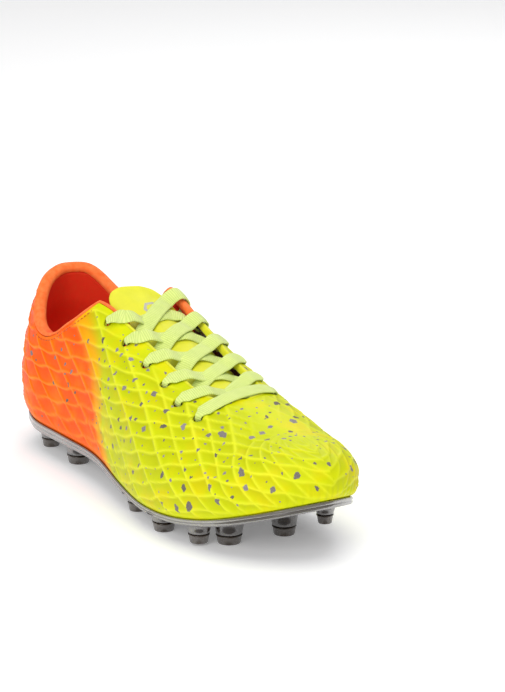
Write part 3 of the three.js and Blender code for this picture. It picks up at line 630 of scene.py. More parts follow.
# The net's long rows: height on the wall of row 0 and the rows' spacing, along the shoe.
ROW_LINE = [(-20, 0), (60, 2), (82, 4.3), (96, 7), (124, 12.5), (150, 20.5), (181, 30.4), (199, 34.5),
            (212, 37.8), (223, 39.5), (245, 40), (262, 34), (280, 27), (300, 19), (330, 16)]
ROW_PITCH = [(-20, 8.8), (150, 8.6), (200, 8.2), (245, 8.4), (300, 7.4)]
ROW_LEAN = [(-20, 10), (150, 9.8), (200, 7.8), (250, 8), (320, 7.4)]
# The net's short columns: number of the column that crosses row 0 at each place.
COLUMNS = [(-150, -17.5), (27, -8), (64, -6), (99.6, -4), (117.5, -3), (137.5, -2), (159.5, -1),
           (181.5, 0), (199, 1), (212.3, 2), (223.4, 3), (233, 4), (244, 5), (259, 6.3), (300, 10),
           (440, 24)]
ROW_WAVE, ROW_WAVE_LENGTH = 0.07, 21
RIDGE_WIDTH, RIDGE_HEIGHT = 0.8, 0.85
SCALE_LIFT, SCALE_MIDDLE = 0.7, 0.45   # how far each cell rises towards its lower, front corner
DEEPEST = 0.35
ROW_TILT, COLUMN_TILT = 0.6, 0.4       # shares of a cell's slope across its rows and columns
COLUMN_RATE = 0.75                     # narrows the short ridges to the long ones' width
# Fades of the net: up from the lower edge, down from the ankle's, the laced and the instep's edge,
# and along the shoe.
FOOT_FADE, ANKLE_FADE, LACED_FADE, INSTEP_FADE, EDGE_FADE = (1.5, 7), (0.8, 3.5), (4, 15), (3, 26), (2, 8)
LACED_FROM, VAMP_FROM, VAMP_FADE, TOE_FADE = (96, 125), (212, 236), (10, 30), (262, 300)
# Small pleats where the skin is pulled under the toe.
PLEAT_HEIGHT, PLEAT_PITCH = 0.28, 3.7
PLEATS_START, PLEATS_STOP, PLEATS_RISE, PLEATS_FALL = (243, 258), (322, 335), (0.5, 3), (7, 15)


def saw(turns):
    """1 just past each whole number, falling evenly to 0 before the next."""
    part = turns - np.floor(turns)
    return (1 - part) * smooth(part, 0, 0.1)


def net(forward, climb):
    """Ridge profile and cell tilt, both 0 to 1, of the moulded net."""
    pitch, lean = along(ROW_PITCH, forward), along(ROW_LEAN, forward)
    row = (climb - along(ROW_LINE, forward)) / pitch
    row = row + ROW_WAVE * np.sin(2 * np.pi * (forward + lean * row) / ROW_WAVE_LENGTH)
    crossing = forward + lean * row
    column = along(COLUMNS, crossing)
    rate = (along(COLUMNS, crossing + 1) - along(COLUMNS, crossing - 1)) / 2
    to_row = np.abs(row - np.round(row)) * pitch
    to_column = np.abs(column - np.round(column)) / (rate * np.hypot(COLUMN_RATE, lean / pitch))
    ridge = np.exp(-(np.minimum(to_row, to_column) / RIDGE_WIDTH) ** 2)
    return ridge, ROW_TILT * saw(row) + COLUMN_TILT * saw(column)


def net_strength(grid, climb, forward):
    """Where the net is moulded: it fades at the edges, under the lace and over the instep."""
    x, below = grid.wall.x, climb[:, -1:] - climb
    foot, ankle, laced = smooth(climb, *FOOT_FADE), smooth(below, *ANKLE_FADE), smooth(below, *LACED_FADE)
    opening = foot * np.where(x < THROAT_START, ankle, lerp(ankle, laced, smooth(x, *LACED_FROM)))
    instep = smooth(below, *INSTEP_FADE) * 0.85 + 0.15 * smooth(below, *EDGE_FADE)
    instep = instep * (1 - 0.55 * smooth(forward, *VAMP_FROM) * (1 - smooth(below, *VAMP_FADE)))
    strength = np.where(x > THROAT_END, foot * instep, opening)
    return strength * (1 - 0.45 * smooth(forward, *TOE_FADE))


# Where the orange turns yellow, and over what length, by the distance up the wall.
YELLOW_FROM = [(0, 134), (12, 127), (19, 121), (29, 120), (38, 118.5), (47, 114), (56, 106.5), (64, 97.5),
               (70, 90), (80, 79)]
FADE = [(0, 9), (35, 10), (60, 17), (80, 18)]


def yellow_share(x, climb):
    """0 where the skin is orange and 1 where it is yellow."""
    return smooth((x - along(YELLOW_FROM, climb)) / along(FADE, climb), -1, 1)


# The largest printed flecks on the outer side: [x, distance up the wall, radius].
LARGE_FLECKS = [
    (114, 66, 2.0), (129, 67, 1.6), (142, 68, 1.8), (149, 54, 1.9), (153, 61, 1.8), (145, 20, 2.0),
    (171, 61, 2.1), (180, 43, 2.0), (186, 56, 1.8), (192, 48, 2.0), (203, 52, 2.2), (204, 60, 2.3),
    (207, 24, 2.0), (219, 7, 2.2), (219, 52, 1.9), (224, 55, 2.6), (225, 19, 2.1), (229, 9, 2.8),
    (235, 66, 2.0), (236, 58, 2.0), (242, 19, 1.9), (247, 11, 2.1), (255, 26, 2.4), (259, 17, 1.9),
    (222, 84, 1.9), (232, 74, 1.9), (276, 19, 2.2), (269, 14, 1.9), (37, 40, 1.8), (81, 24, 1.6),
    (83, 33, 1.6), (64, 44, 1.5),
]
FLECK_SEED, FLECK_TRIES, FLECK_GAP, FLECK_REACH = 41, 900, 2.2, 9
FLECK_X, FLECK_CLIMB, FLECK_SIZES = (12, 281), (4, 92), (0.4, 1.3)
FEWER_BEHIND, FEWER = 112, 0.3
BAND_WIDTH = 12                        # of the dense band that falls towards the toe
FLECK_LOST = 2                         # further than this from the wall, a fleck is left out
LARGE_MOVED = {-1: (0, 0, -0.4), 1: (6, 3, -0.4)}   # what the large ones differ by on each side


def side_flecks(random, side):
    """One side's flecks, clear of each other: x, distance up the wall and radius."""
    spots = [tuple(spot) for spot in np.array(LARGE_FLECKS) + LARGE_MOVED[side]]
    for _ in range(FLECK_TRIES):
        x, climb, chance = random.uniform(*FLECK_X), random.uniform(*FLECK_CLIMB), random.uniform()
        radius = lerp(*FLECK_SIZES, random.uniform() ** 2)
        band = math.exp(-((climb - (88 - 0.24 * x)) / BAND_WIDTH) ** 2)
        dense = (1.0 if x > FEWER_BEHIND else FEWER) * (0.4 + 0.8 * band)
        clear = all(math.hypot(x - a, climb - b) > radius + c + FLECK_GAP for a, b, c in spots)
        if clear and chance < dense:
            spots.append((x, climb, radius))
    return spots


def fleck_fields(grid, climb):
    """Signed distance to the nearest fleck's edge in millimetres, and that fleck's tone."""
    random = np.random.default_rng(FLECK_SEED)
    distance, tone = np.full(climb.shape, float(FLECK_REACH)), np.zeros(climb.shape)
    for side in (-1, 1):
        x = np.where(grid.wall.side == side, grid.wall.x, np.inf)
        for spot_x, spot_climb, radius in side_flecks(random, side):
            turn, long, shade = random.uniform(0, np.pi), random.uniform(1.0, 1.5), random.uniform()
            corners = random.integers(3, 6)
            near = np.nonzero(np.maximum(np.abs(x - spot_x), np.abs(climb - spot_climb)) < FLECK_REACH)
            away = np.hypot(x[near] - spot_x, climb[near] - spot_climb)
            if away.min(initial=np.inf) > FLECK_LOST:
                continue
            nearest = np.argmin(away)
            centre, out = grid.at[near][nearest], grid.out[near][nearest]
            spokes = grid.at[near] - centre
            level = unit(np.cross(np.array([0, 0, 1.0]), out))
            p, q = spokes @ level, spokes @ np.cross(out, level)
            facets = 1 + 0.15 * np.cos(corners * (np.arctan2(q, p) + turn))
            p, q = p * np.cos(turn) + q * np.sin(turn), q * np.cos(turn) - p * np.sin(turn)
            gap = np.hypot(p / long, q * long) * facets - radius
            closer = gap < distance[near]
            distance[near] = np.where(closer, gap, distance[near])
            tone[near] = np.where(closer, shade, tone[near])
    return distance, tone


# ---- eyelets and the instep ----

EYELETS = {
    -1: [(110, -26.2), (130.5, -26.5), (151, -25.9), (170, -25.5), (186.5, -27.3), (204, -25.5)],
    1: [(105, 25.7), (124, 26.4), (143, 27.6), (161, 28), (178, 28.2), (194, 27.6)],
}
EYELET_R, HOLE_REACH = 2.9, 9


def instep_z(x, y):
    """Height of the upper's surface over a place on the instep."""
    x, y = np.broadcast_arrays(np.asarray(x, float), np.asarray(y, float))
    across = y - along(RIDGE_Y, x)
    s = Wall(share_of(x, np.where(across < 0, -1, 1)))
    part = np.minimum(np.abs(across) / (s.reach + s.bulge), 1)
    return s.foot + s.rise + (s.top - s.foot - s.rise) * (1 - part ** s.power) ** (1 / s.power)


def instep_normal(x, y):
    step = 1.5
    dx = (instep_z(x + step, y) - instep_z(x - step, y)) / (2 * step)
    dy = (instep_z(x, y + step) - instep_z(x, y - step)) / (2 * step)
    return unit(np.stack([-dx, -dy, np.ones_like(dx)], -1))


def instep(x, y, depth):
    """Points at a depth under the instep's surface."""
    x, y = np.broadcast_arrays(np.asarray(x, float), np.asarray(y, float))
    return np.stack([x, y, instep_z(x, y)], -1) - instep_normal(x, y) * np.asarray(depth)[..., None]


HOLES = [(instep(x, y, 0.0), instep_normal(x, y)) for side in (-1, 1) for x, y in EYELETS[side]]


def from_axis(points, hole):
    """Distance of points to an eyelet's axis, far away for those off its part of the upper."""
    centre, axis = hole
    spokes = points - centre
    height = spokes @ axis
    flat = spokes - height[..., None] * axis
    return np.where(np.abs(height) < HOLE_REACH, np.linalg.norm(flat, axis=-1), np.inf)


def punch(surfaces, keep):
    """Takes the quads round each eyelet out of `keep` and rounds the hole in every surface."""
    for hole in HOLES:
        inside = from_axis(surfaces[0], hole) < EYELET_R
        if not inside.any():
            continue
        corner = inside | np.roll(inside, -1, 0)
        hit = corner[:, :-1] | corner[:, 1:]
        touched = np.zeros_like(inside)
        touched[:, :-1] |= hit
        touched[:, 1:] |= hit
        touched |= np.roll(touched, 1, 0)
        rim = touched & ~inside
        keep &= ~hit
        centre, axis = hole
        for points in surfaces:
            spokes = points[rim] - centre
            height = (spokes @ axis)[:, None] * axis
            points[rim] = centre + height + unit(spokes - height) * EYELET_R


# ---- layers of the upper ----

SKIN, BACKER, LINING = 1.4, 1.2, 0.8
COLLAR_PAD, PAD_FROM, PAD_TO = 2.4, (0.5, 0.75), (66, 86)
LAYER2 = SKIN + GAP
LAYER3 = LAYER2 + BACKER + GAP
BACKER_DEPTHS, LINING_DEPTHS = (LAYER2, LAYER2 + BACKER), (LAYER3, LAYER3 + LINING)
LINING_SPLIT = 117
COUNTER_END, COUNTER_TOP, PADDING_END = 74, 0.5, 84
EYESTAY_LOW, EYESTAY_ENDS, PUFF_START = 0.66, (99, 200), 236
CLOTH_ENDS, CLOTH_GAP = (87, 234), (97, 204)
SKIN_STEP, SKIN_ROWS = (0.8, 98) if FINE == 2 else (1.6, 50)
HIDDEN_FACES = 0.57                    # share of the skin's faces left after thinning its back
DIMPLE, DIMPLE_WIDTH = 0.35, 1.6       # round each eyelet


def level_list(rows):
    """Levels from the cup's floor, through the lower edge at 0, to the upper edge at 1."""
    return np.concatenate([np.linspace(-1, 0, 4)[:-1], np.linspace(0, 1, rows + 1)])


def collar_extra(x, level):
    """Thickness of the padding round the ankle."""
    return COLLAR_PAD * smooth(level, *PAD_FROM) * (1 - smooth(x, *PAD_TO))


def make_skin():
    grid = Grid(SKIN_STEP, level_list(SKIN_ROWS))
    climb, forward = grid.climb(), grid.forward()
    ridge, tilt = net(forward, climb)
    strength = net_strength(grid, climb, forward)
    pleats = np.sin(2 * np.pi * forward / PLEAT_PITCH) * smooth(forward, *PLEATS_START)
    pleats = pleats * (1 - smooth(forward, *PLEATS_STOP))
    pleats = pleats * smooth(climb, *PLEATS_RISE) * (1 - smooth(climb, *PLEATS_FALL))
    lift = strength * (RIDGE_HEIGHT * ridge + SCALE_LIFT * (tilt - SCALE_MIDDLE)) + PLEAT_HEIGHT * pleats
    dimple = sum(DIMPLE * np.exp(-((from_axis(grid.at, hole) - EYELET_R) / DIMPLE_WIDTH) ** 2)
                 for hole in HOLES)
    outer = grid.depth(-np.maximum(lift, -DEEPEST) + np.minimum(dimple, DIMPLE))
    inner = grid.depth(SKIN)
    keep = np.ones((len(outer), outer.shape[1] - 1), bool)
    punch([outer, inner], keep)
    points, faces = shell(outer, inner, keep, ring=True)
    fleck, tone = fleck_fields(grid, climb)
    # Two of these fields only carry painted light: a painted highlight on the net's ridges and a painted
    # shade in the cells under them.
    shown = {"ridge_highlight": strength * ridge, "hollow_shade": strength * (1 - tilt) * (1 - ridge),
             "yellow": yellow_share(grid.wall.x, climb), "fleck": fleck, "tone": tone}
    fields = {name: np.tile(values.reshape(-1), 2) for name, values in shown.items()}
    fields["inner"] = np.repeat([0, 1], climb.size)
    skin = piece("upper", points, faces, skin_material(), stands_for=["upper_skin"],
                 fields=fields)
    if FINE == 2:
        thin_out(skin)


def thin_out(skin):
    """Fewer faces on the skin's hidden inner face."""
    hidden = skin.vertex_groups.new(name="hidden")
    stored = np.zeros(len(skin.data.vertices), np.float32)
    skin.data.attributes["inner"].data.foreach_get("value", stored)
    hidden.add(np.nonzero(stored > 0.5)[0].tolist(), 1.0, "REPLACE")
    reduce = skin.modifiers.new("thin_out", "DECIMATE")
    reduce.vertex_group, reduce.ratio = "hidden", HIDDEN_FACES


def upper_layer(name, node, material, depths, padded, inside, step=3.0, rows=30, punched=False):
    """A layer under the skin, over the x, level and side that `inside` accepts. Its two faces lie at
    `depths`, and deeper by the collar's padding where `padded` is 1."""
    grid = Grid(step, level_list(rows))
    extra = collar_extra(grid.wall.x, grid.level)
    faces = [grid.depth(depth + share * extra) for depth, share in zip(depths, padded)]
    keep = inside(*grid.middles(), grid.wall.side[:, :-1])
    if punched:
        punch(faces, keep)
    points, quads = shell(*faces, keep, ring=True)
    piece(name, points, quads, material, stands_for=[node])


def between(x, ends):
    return (x > ends[0]) & (x < ends[1])


def make_backers():
    board = plain_material("counter_sheet", "#e4dfd3", "#f1ede4", 0.6, 2500)
    cloth = knit_material("backing_cloth", "#c9c414", "#e0dc30", 0.0011)
    foam = plain_material("collar_foam", "#f0e8cf", "#fbf6e6", 0.95, 1800, 0.0004)
    upper_layer("heel_stiffener", "heel_counter", board, BACKER_DEPTHS, (0, 0),
                lambda x, level, side: (x < COUNTER_END) & (level < COUNTER_TOP))
    upper_layer("toe_stiffener", "toe_puff", board, BACKER_DEPTHS, (0, 0),
                lambda x, level, side: x > PUFF_START)
    upper_layer("collar_foam_pad", "collar_padding", foam, BACKER_DEPTHS, (0, 1),
                lambda x, level, side: (x < PADDING_END) & (level > COUNTER_TOP))
    for here, name in ((-1, "outer"), (1, "inner")):
        upper_layer(f"eyestay_band_{name}", f"eyestay_{name}", cloth, BACKER_DEPTHS, (0, 0),
                    lambda x, level, side: (side == here) & between(x, EYESTAY_ENDS)
                    & (level > EYESTAY_LOW), punched=True)
    upper_layer("upper_cloth", "upper_backing", cloth, BACKER_DEPTHS, (0, 0),
                lambda x, level, side: between(x, CLOTH_ENDS)
                & (~between(x, CLOTH_GAP) | (level < EYESTAY_LOW)), punched=True)


def make_linings():
    red = suede_material("lining_suede", DEEP_ORANGE, LINING_LIGHT, 0.05)
    upper_layer("ankle_lining", "quarter_lining", red, LINING_DEPTHS, (1, 1),
                lambda x, level, side: x < LINING_SPLIT, step=2.0, rows=44, punched=True)
    dark = knit_material("toe_lining_knit", "#35302a", "#4e473e", 0.0011)
    upper_layer("toe_lining", "vamp_lining", dark, LINING_DEPTHS, (1, 1),
                lambda x, level, side: x > LINING_SPLIT, punched=True)


# ---- collar ----

ROLL_END = 121
ROLL_HEIGHT, ROLL_THIN, ROLL_SINK, ROLL_OVER = 3.2, (38, 62), 0.9, 0.35
OUTER_LOWER, INNER_LOWER, INNER_FRONT, INNER_RISES = 2.1, 0.9, 1.4, (96, 103)
ROLL_SHADE_SPAN = (0.9, 1.7)               # across the thin roll, where it is painted in the lining's colour as painted shade
EDGE_SHAPE = [(-0.12, -1.2), (-0.14, 0.0), (0.1, 0.55), (0.8, 0.75)]
STITCH_ENDS, STITCH_PITCH, STITCH_LENGTH, STITCH_RADIUS, STITCH_LIFT = (40, 95), 3.1, 2.2, 0.27, 0.18


def edge_line(share):
    """The wall at some shares, its edge's points and normals, and the way out of the edge."""
    wall = Wall(share)
    edge = wall.edge()
    at, normal = wall.surface(edge), wall.outward(edge)
    return wall, at, normal, unit(np.cross(unit(np.gradient(at, axis=0)), normal))


def collar_path():
    """Points of the opening's edge from the outer throat round the heel to the inner throat."""
    ends = [float(share_of(ROLL_END, side)) for side in (-1, 1)]
    outer_arc, inner_arc, whole = np.interp([*ends, 1], TABLE, TABLE_ARC)
    count = int((outer_arc + whole - inner_arc) / (2.4 / FINE))
    arc = np.linspace(outer_arc, inner_arc - whole, count)
    return edge_line(np.interp(np.mod(arc, whole), TABLE_ARC, TABLE))


def make_collar():
    """Soft roll over the layers' edges, full round the heel and thin along the outer front."""
    wall, at, normal, away = collar_path()
    x, side = wall.x, wall.side
    wide = LAYER3 + LINING + collar_extra(x, np.ones_like(x))
    thin = smooth(x, *ROLL_THIN)
    front = INNER_FRONT * smooth(x, *INNER_RISES)
    full = ROLL_HEIGHT + np.where(side < 0, -OUTER_LOWER * thin, front - INNER_LOWER * thin)
    wave = 0.12 * np.sin(x / 4.1) + 0.1 * np.sin(x / 2.3 + 1)
    turns = circle(18)
    sections, inward_shade = [], []
    for i in range(len(x)):
        half = wide[i] / 2 + ROLL_OVER
        across = wide[i] / 2 - half * np.cos(turns)
        up = (full[i] + wave[i]) * np.maximum(np.sin(turns), 0) ** 0.75
        up -= ROLL_SINK * np.maximum(-np.sin(turns), 0)
        # Painted shade: along the thin outer front, the roll's inner half takes the lining's deep orange.
        inward_shade.append(np.where(side[i] < 0, thin[i], 0) * smooth(across, *ROLL_SHADE_SPAN))
        sections.append(at[i] + ROLL_SINK * away[i] - normal[i] * across[:, None] + away[i] * up[:, None])
    light = suede_material("collar_suede", "#fb6c22", "#ff8440", 0.15)
    points, faces = tube(sections)
    made = piece("collar", points, faces, light, stands_for=["collar_roll"],
                 fields={"inward_shade": np.array(inward_shade)})


def make_throat_edge():
    """Folded skin that closes the layers along both sides of the throat."""
    line = np.linspace(ROLL_END - 0.5, THROAT_END - 0.8, 45 * FINE)
    deep = LAYER3 + LINING - 0.3
    shape = [*EDGE_SHAPE, (deep - 0.6, 0.75), (deep, 0.4), (deep, -0.2), (2.0, -0.3)]
    parts = []
    for side in (-1, 1):
        _, at, normal, away = edge_line(share_of(line, side))
        away *= np.sign(away @ np.array([0, -side, 0.6]))[:, None]
        parts.append(tube([at[i] + np.array([away[i] * up - normal[i] * across for across, up in shape])
                           for i in range(len(line))]))
    points, faces = join(parts)
    piece("throat_edge", points, faces, microfibre_material(),
          fields={"mark": np.ones(len(points))})


def capsule(start, end, normal, radius, lift):
    """Small stitch from start to end that stands a little out of the cloth."""
    across = np.cross(unit(end - start), normal)
    turns = circle(6)[:, None]
    sections = []
    for t in np.linspace(0, 1, 5):
        size = radius * (0.35 + 0.65 * math.sin(math.pi * t) ** 0.5)
        middle = start + (end - start) * t + normal * (lift * math.sin(math.pi * t))
        sections.append(middle + size * (across * np.cos(turns) + normal * np.sin(turns)))
    return tube(sections)


def make_stitches():
    """Row of stitches under the collar's seam."""
    wall, at, normal, away = collar_path()
    line = at - away * 2.0 + normal * 0.1
    arc = arc_length(line)

    def sample(values, way):
        return np.array([np.interp(way, arc, column) for column in values.T])

    here = between(wall.x, STITCH_ENDS).astype(float)
    ways = [way for way in np.arange(0, arc[-1], STITCH_PITCH) if np.interp(way, arc, here) > 0.5]
    points, faces = join([capsule(sample(line, way), sample(line, way + STITCH_LENGTH),
                                  unit(sample(normal, way)), STITCH_RADIUS, STITCH_LIFT) for way in ways])
    thread = plain_material("orange_thread", "#b8440c", "#d8601c", 0.6, 5000)
    piece("collar_stitches", points, faces, thread)


# ---- tongue ----

# x and half width; the first row is its tip and the last its front end.
TONGUE_EDGE = [(97, 7.5), (98, 13), (100, 18), (103, 21.5), (108, 23.5), (125, 22.5), (160, 21.5),
               (214, 19)]
TIP_X, TIP_ROWS_END, FRONT_X = 97, 106, 214
TONGUE_DEPTH, TONGUE_FACE, TONGUE_FOAM, TONGUE_GAP = 7.0, 0.8, 2.6, 0.5
CROWN_RISE, CROWN_RISES, CROWN_FALLS, CROWN_SIDES = 3.6, (97, 117), (182, 200), (3, 16)
TIE_SAG, TIE_X, TIE_REACH, TIE_SIDES = 4.0, 116, 14, (6, 20)
TIP_RUN = (97, 113)
TIP_SINK, TIP_SHIFT, TIP_SPREAD, TIP_TILT, TIP_TURN = 1.8, -3.0, 0.72, 0.03, 0.28
MARK_AT, MARK_SIDE, MARK_STRETCH = (109.8, 1.8), 3.9, 1.1


def crown(x, y):
    """Rise of the tongue's middle over the instep's own curve; the top lace ties it down."""
    off = np.abs(y - along(RIDGE_Y, x))
    ends = smooth(x, *CROWN_RISES) * (1 - smooth(x, *CROWN_FALLS))
    tied = TIE_SAG * np.exp(-((x - TIE_X) / TIE_REACH) ** 2) * (1 - smooth(off, *TIE_SIDES))
    return CROWN_RISE * ends * (1 - smooth(off, *CROWN_SIDES)) - tied


def tongue_surface(x, across, depth):
    """Points of the tongue; its tip hangs lower and flatter than the instep and leans outwards."""
    tip = 1 - smooth(x, *TIP_RUN)
    narrow = 1 - (1 - TIP_SPREAD) * tip
    ridge = along(RIDGE_Y, x)
    y = ridge + across * narrow
    at = instep(x, y, depth + TIP_SINK * tip - crown(x, y))
    spread = (at[..., 1] - ridge) / narrow
    back = at[..., 0] + TIP_TURN * tip * spread
    return np.stack([back, ridge + TIP_SHIFT * tip + spread, at[..., 2] - TIP_TILT * tip * spread], -1)


def tongue_grid(depth, sag=0.0, shrink=0.0):
    """Points across and along the tongue; its edges sag under the middle."""
    tip = lerp(TIP_X, TIP_ROWS_END, np.linspace(0, 1, 14 * FINE) ** 2)
    x = np.concatenate([tip[:-1], np.linspace(TIP_ROWS_END, FRONT_X, 44 * FINE)])[:, None]
    share = np.linspace(-1, 1, 20 * FINE + 1)
    across = share * (along(TONGUE_EDGE, x) - shrink)
    return tongue_surface(x + 0 * across, across, depth + sag * np.abs(share) ** 6 + 0 * across)


def tongue_layer(name, node, material, depth, thickness, sag=0.0, shrink=0.0):
    """One layer of the tongue, with each point's distance from the outline of the six-sided mark."""
    points, faces = shell(tongue_grid(depth, sag, shrink), tongue_grid(depth + thickness, sag, shrink))
    forward, left = (points[:, :2] - MARK_AT).T
    sixth = np.pi / 3
    turn = np.mod(np.arctan2(left, forward) + sixth / 2, sixth) - sixth / 2
    mark = np.abs(np.hypot(forward * MARK_STRETCH, left) * np.cos(turn) - MARK_SIDE)
    return piece(name, points, faces, material, body="tongue", stands_for=[node],
                 fields={"mark": mark})


def make_tongue():
    yellow = microfibre_material()
    foam = plain_material("tongue_foam_open", "#efe6c8", "#fbf5e0", 0.95, 1800, 0.0004)
    red = suede_material("tongue_suede", DEEP_ORANGE, LINING_LIGHT, 0.05)
    face = tongue_layer("tongue_front", "tongue_face", yellow, TONGUE_DEPTH, TONGUE_FACE,
                        sag=0.5)
    deeper = TONGUE_DEPTH + TONGUE_FACE + TONGUE_GAP
    pad = tongue_layer("tongue_pad", "tongue_foam", foam, deeper, TONGUE_FOAM, shrink=0.8)
    tongue_layer("tongue_back", "tongue_lining", red, deeper + TONGUE_FOAM + TONGUE_GAP, LINING)


# ---- lace ----

LACE_HALF_WIDTH, LACE_HALF_THICKNESS = 4.3, 0.6
# Depths of the lace's middle: over the skin, under the lining, and the two strands that cross
# over the tongue.
LACE_OVER = -(2 * GAP + LACE_HALF_THICKNESS)
LACE_INSIDE = LAYER3 + LINING + GAP + LACE_HALF_THICKNESS + 0.4
LACE_CLEAR = 0.7
LACE_LOW = TONGUE_DEPTH - LACE_CLEAR - LACE_HALF_THICKNESS
LACE_HIGH = LACE_LOW - 2 * LACE_HALF_THICKNESS - GAP
LACE_STEP, LACE_RIB_HEIGHT, LACE_FOLD = 1.1 / FINE, 0.05, 0.35
BOW, BOW_FADE, BOW_RISES, BOW_FALLS = 7.5, (108, 150), (0, 0.14), (0.2, 0.75)
COMES_UP, GOES_OVER = (0.5, 14), (2, 15)
# Stations of a crossing: distances from its start, and from its end.
START_STEPS = [5, 9.5, 14, 18, 22.5]
END_STEPS = [21, 18.2, 16, 13.6, 11.4, 9, 6.8, 4.6]
# Stations in an eyelet, arriving and leaving: distance forward, depth and half width.
ARRIVING = [(-2.4, LACE_OVER, 2.6), (-0.9, LACE_OVER + 0.35, 2.1), (-0.1, 0.3, 2.0)]
LEAVING = [(0.1, LACE_INSIDE - 1.6, 2.0), (0.9, LACE_INSIDE - 0.35, 2.2), (2.4, LACE_INSIDE, 2.7)]
# The loose end inside the shoe: distance forward of the top eyelet, and level.
TAIL = [(0, 0.9), (0.5, 0.8), (2, 0.7), (6, 0.6), (13, 0.52), (22, 0.47), (32, 0.44), (43, 0.42),
        (55, 0.4)]
TAIL_HALF_WIDTH, TAIL_STEP_IN = 3.2, 0.3


def strand_depth(kind, done, left, rise):
    """Depth of a strand's middle by the distance done and left between the throat's two edges."""
    if kind == "bar":
        return LACE_OVER
    centre = (LACE_HIGH if kind == "inner" else LACE_LOW) - rise
    start = lerp(LACE_INSIDE, centre, smooth(done, *COMES_UP))
    return lerp(LACE_OVER, start, smooth(left, *GOES_OVER))


def crossing(start, end):
    """Length of the straight way between two eyelets, and the place at a distance along it. The lace
    bows forward a little."""
    start, end = np.array(start, float), np.array(end, float)
    length = np.linalg.norm(end - start)
    outer_end = end if end[1] < start[1] else start
    bow = BOW * (1 - smooth(outer_end[0], *BOW_FADE))

    def at(way):
        x, y = start + (end - start) * way / length
        off = (y - outer_end[1]) / abs(end[1] - start[1])
        return x + bow * smooth(off, *BOW_RISES) * (1 - smooth(off, *BOW_FALLS)), y

    return length, at


def strand(start, end, kind):
    """Stations of one crossing: place, normal, half width and whether it is in a hole."""
    length, at = crossing(start, end)
    ways = [w for w in np.linspace(0, length, 121)
            if abs(at(w)[1] - along(RIDGE_Y, at(w)[0])) < along(THROAT, at(w)[0])]
    steps = END_STEPS[::-1] if kind == "bar" else START_STEPS
    stations = []
    for way in [*steps, *[length - s for s in END_STEPS]]:
        x, y = at(way)
        depth = strand_depth(kind, way - ways[0], ways[-1] - way, float(crown(x, y)))
        stations.append((instep(x, y, depth), instep_normal(x, y), LACE_HALF_WIDTH, False))
    return stations


def flattened(v, normal):
    return unit(v - normal * np.dot(v, normal))


def lace_turn(eyelet, before, target):
    """Stations of the lace's turn down through one eyelet."""
    hole, normal = instep(*eyelet, 0.0), instep_normal(*eyelet)
    arriving, leaving = flattened(hole - before, normal), flattened(target - hole, normal)
    return [(hole + way * forward - normal * depth, normal, half, True)
            for way, rows in ((arriving, ARRIVING), (leaving, LEAVING)) for forward, depth, half in rows]


def under(x, side, level, depth):
    return Wall(share_of(np.array([x]), side)).under(np.array([level]), np.array([depth]))[0]


def lace_tail(side):
    """Stations of the loose end that hangs inside the shoe from the top eyelet."""
    stations = []
    for i, (forward, level) in enumerate(TAIL):
        x = EYELETS[side][0][0] + forward
        at = under(x, side, level, LACE_INSIDE + min(i, 4) * TAIL_STEP_IN)
        normal = unit(under(x, side, level, 0) - under(x, side, level, 1))
        stations.append((at, normal, TAIL_HALF_WIDTH, False))
    return stations


def lace_half(side):
    """Stations from the bottom eyelet of one side up to the top one, then inside the shoe."""
    stations, here = [], side
    before = instep(*EYELETS[-side][5], LACE_OVER)
    for row in range(5, -1, -1):
        eyelet = EYELETS[here][row]
        ending = lace_tail(here) if row == 0 else []
        target = ending[1][0] if ending else instep(*EYELETS[-here][row - 1], 0.0)
        stations += lace_turn(eyelet, before, target)
        if not ending:
            stations += strand(eyelet, EYELETS[-here][row - 1], "inner" if here < 0 else "outer")
            length, at = crossing(eyelet, EYELETS[-here][row - 1])
            before = instep(*at(length - 6), 0.0)
        stations += ending[1:]
        here = -here
    return stations


def lace_widths(stations, ahead):
    """Direction of the lace's width at every station, turning evenly through each hole."""
    widths, last = [], None
    for (_, normal, _, in_hole), way in zip(stations, ahead):
        width = None if in_hole else unit(np.cross(normal, way))
        if width is not None and last is not None and np.dot(width, last) < 0:
            width = -width
        widths.append(width)
        last = last if width is None else width
    start = 0
    while start < len(widths):
        end = start
        while end < len(widths) and widths[end] is None:
            end += 1
        for i in range(start, end):
            mixed = lerp(widths[start - 1], widths[end], (i - start + 1) / (end - start + 1))
            widths[i] = flattened(mixed, ahead[i])
        start = end + 1
    return np.array(widths)


def eased(values, key, at):
    """Smooth values between stations."""
    return curve(np.column_stack([key, values]), at)


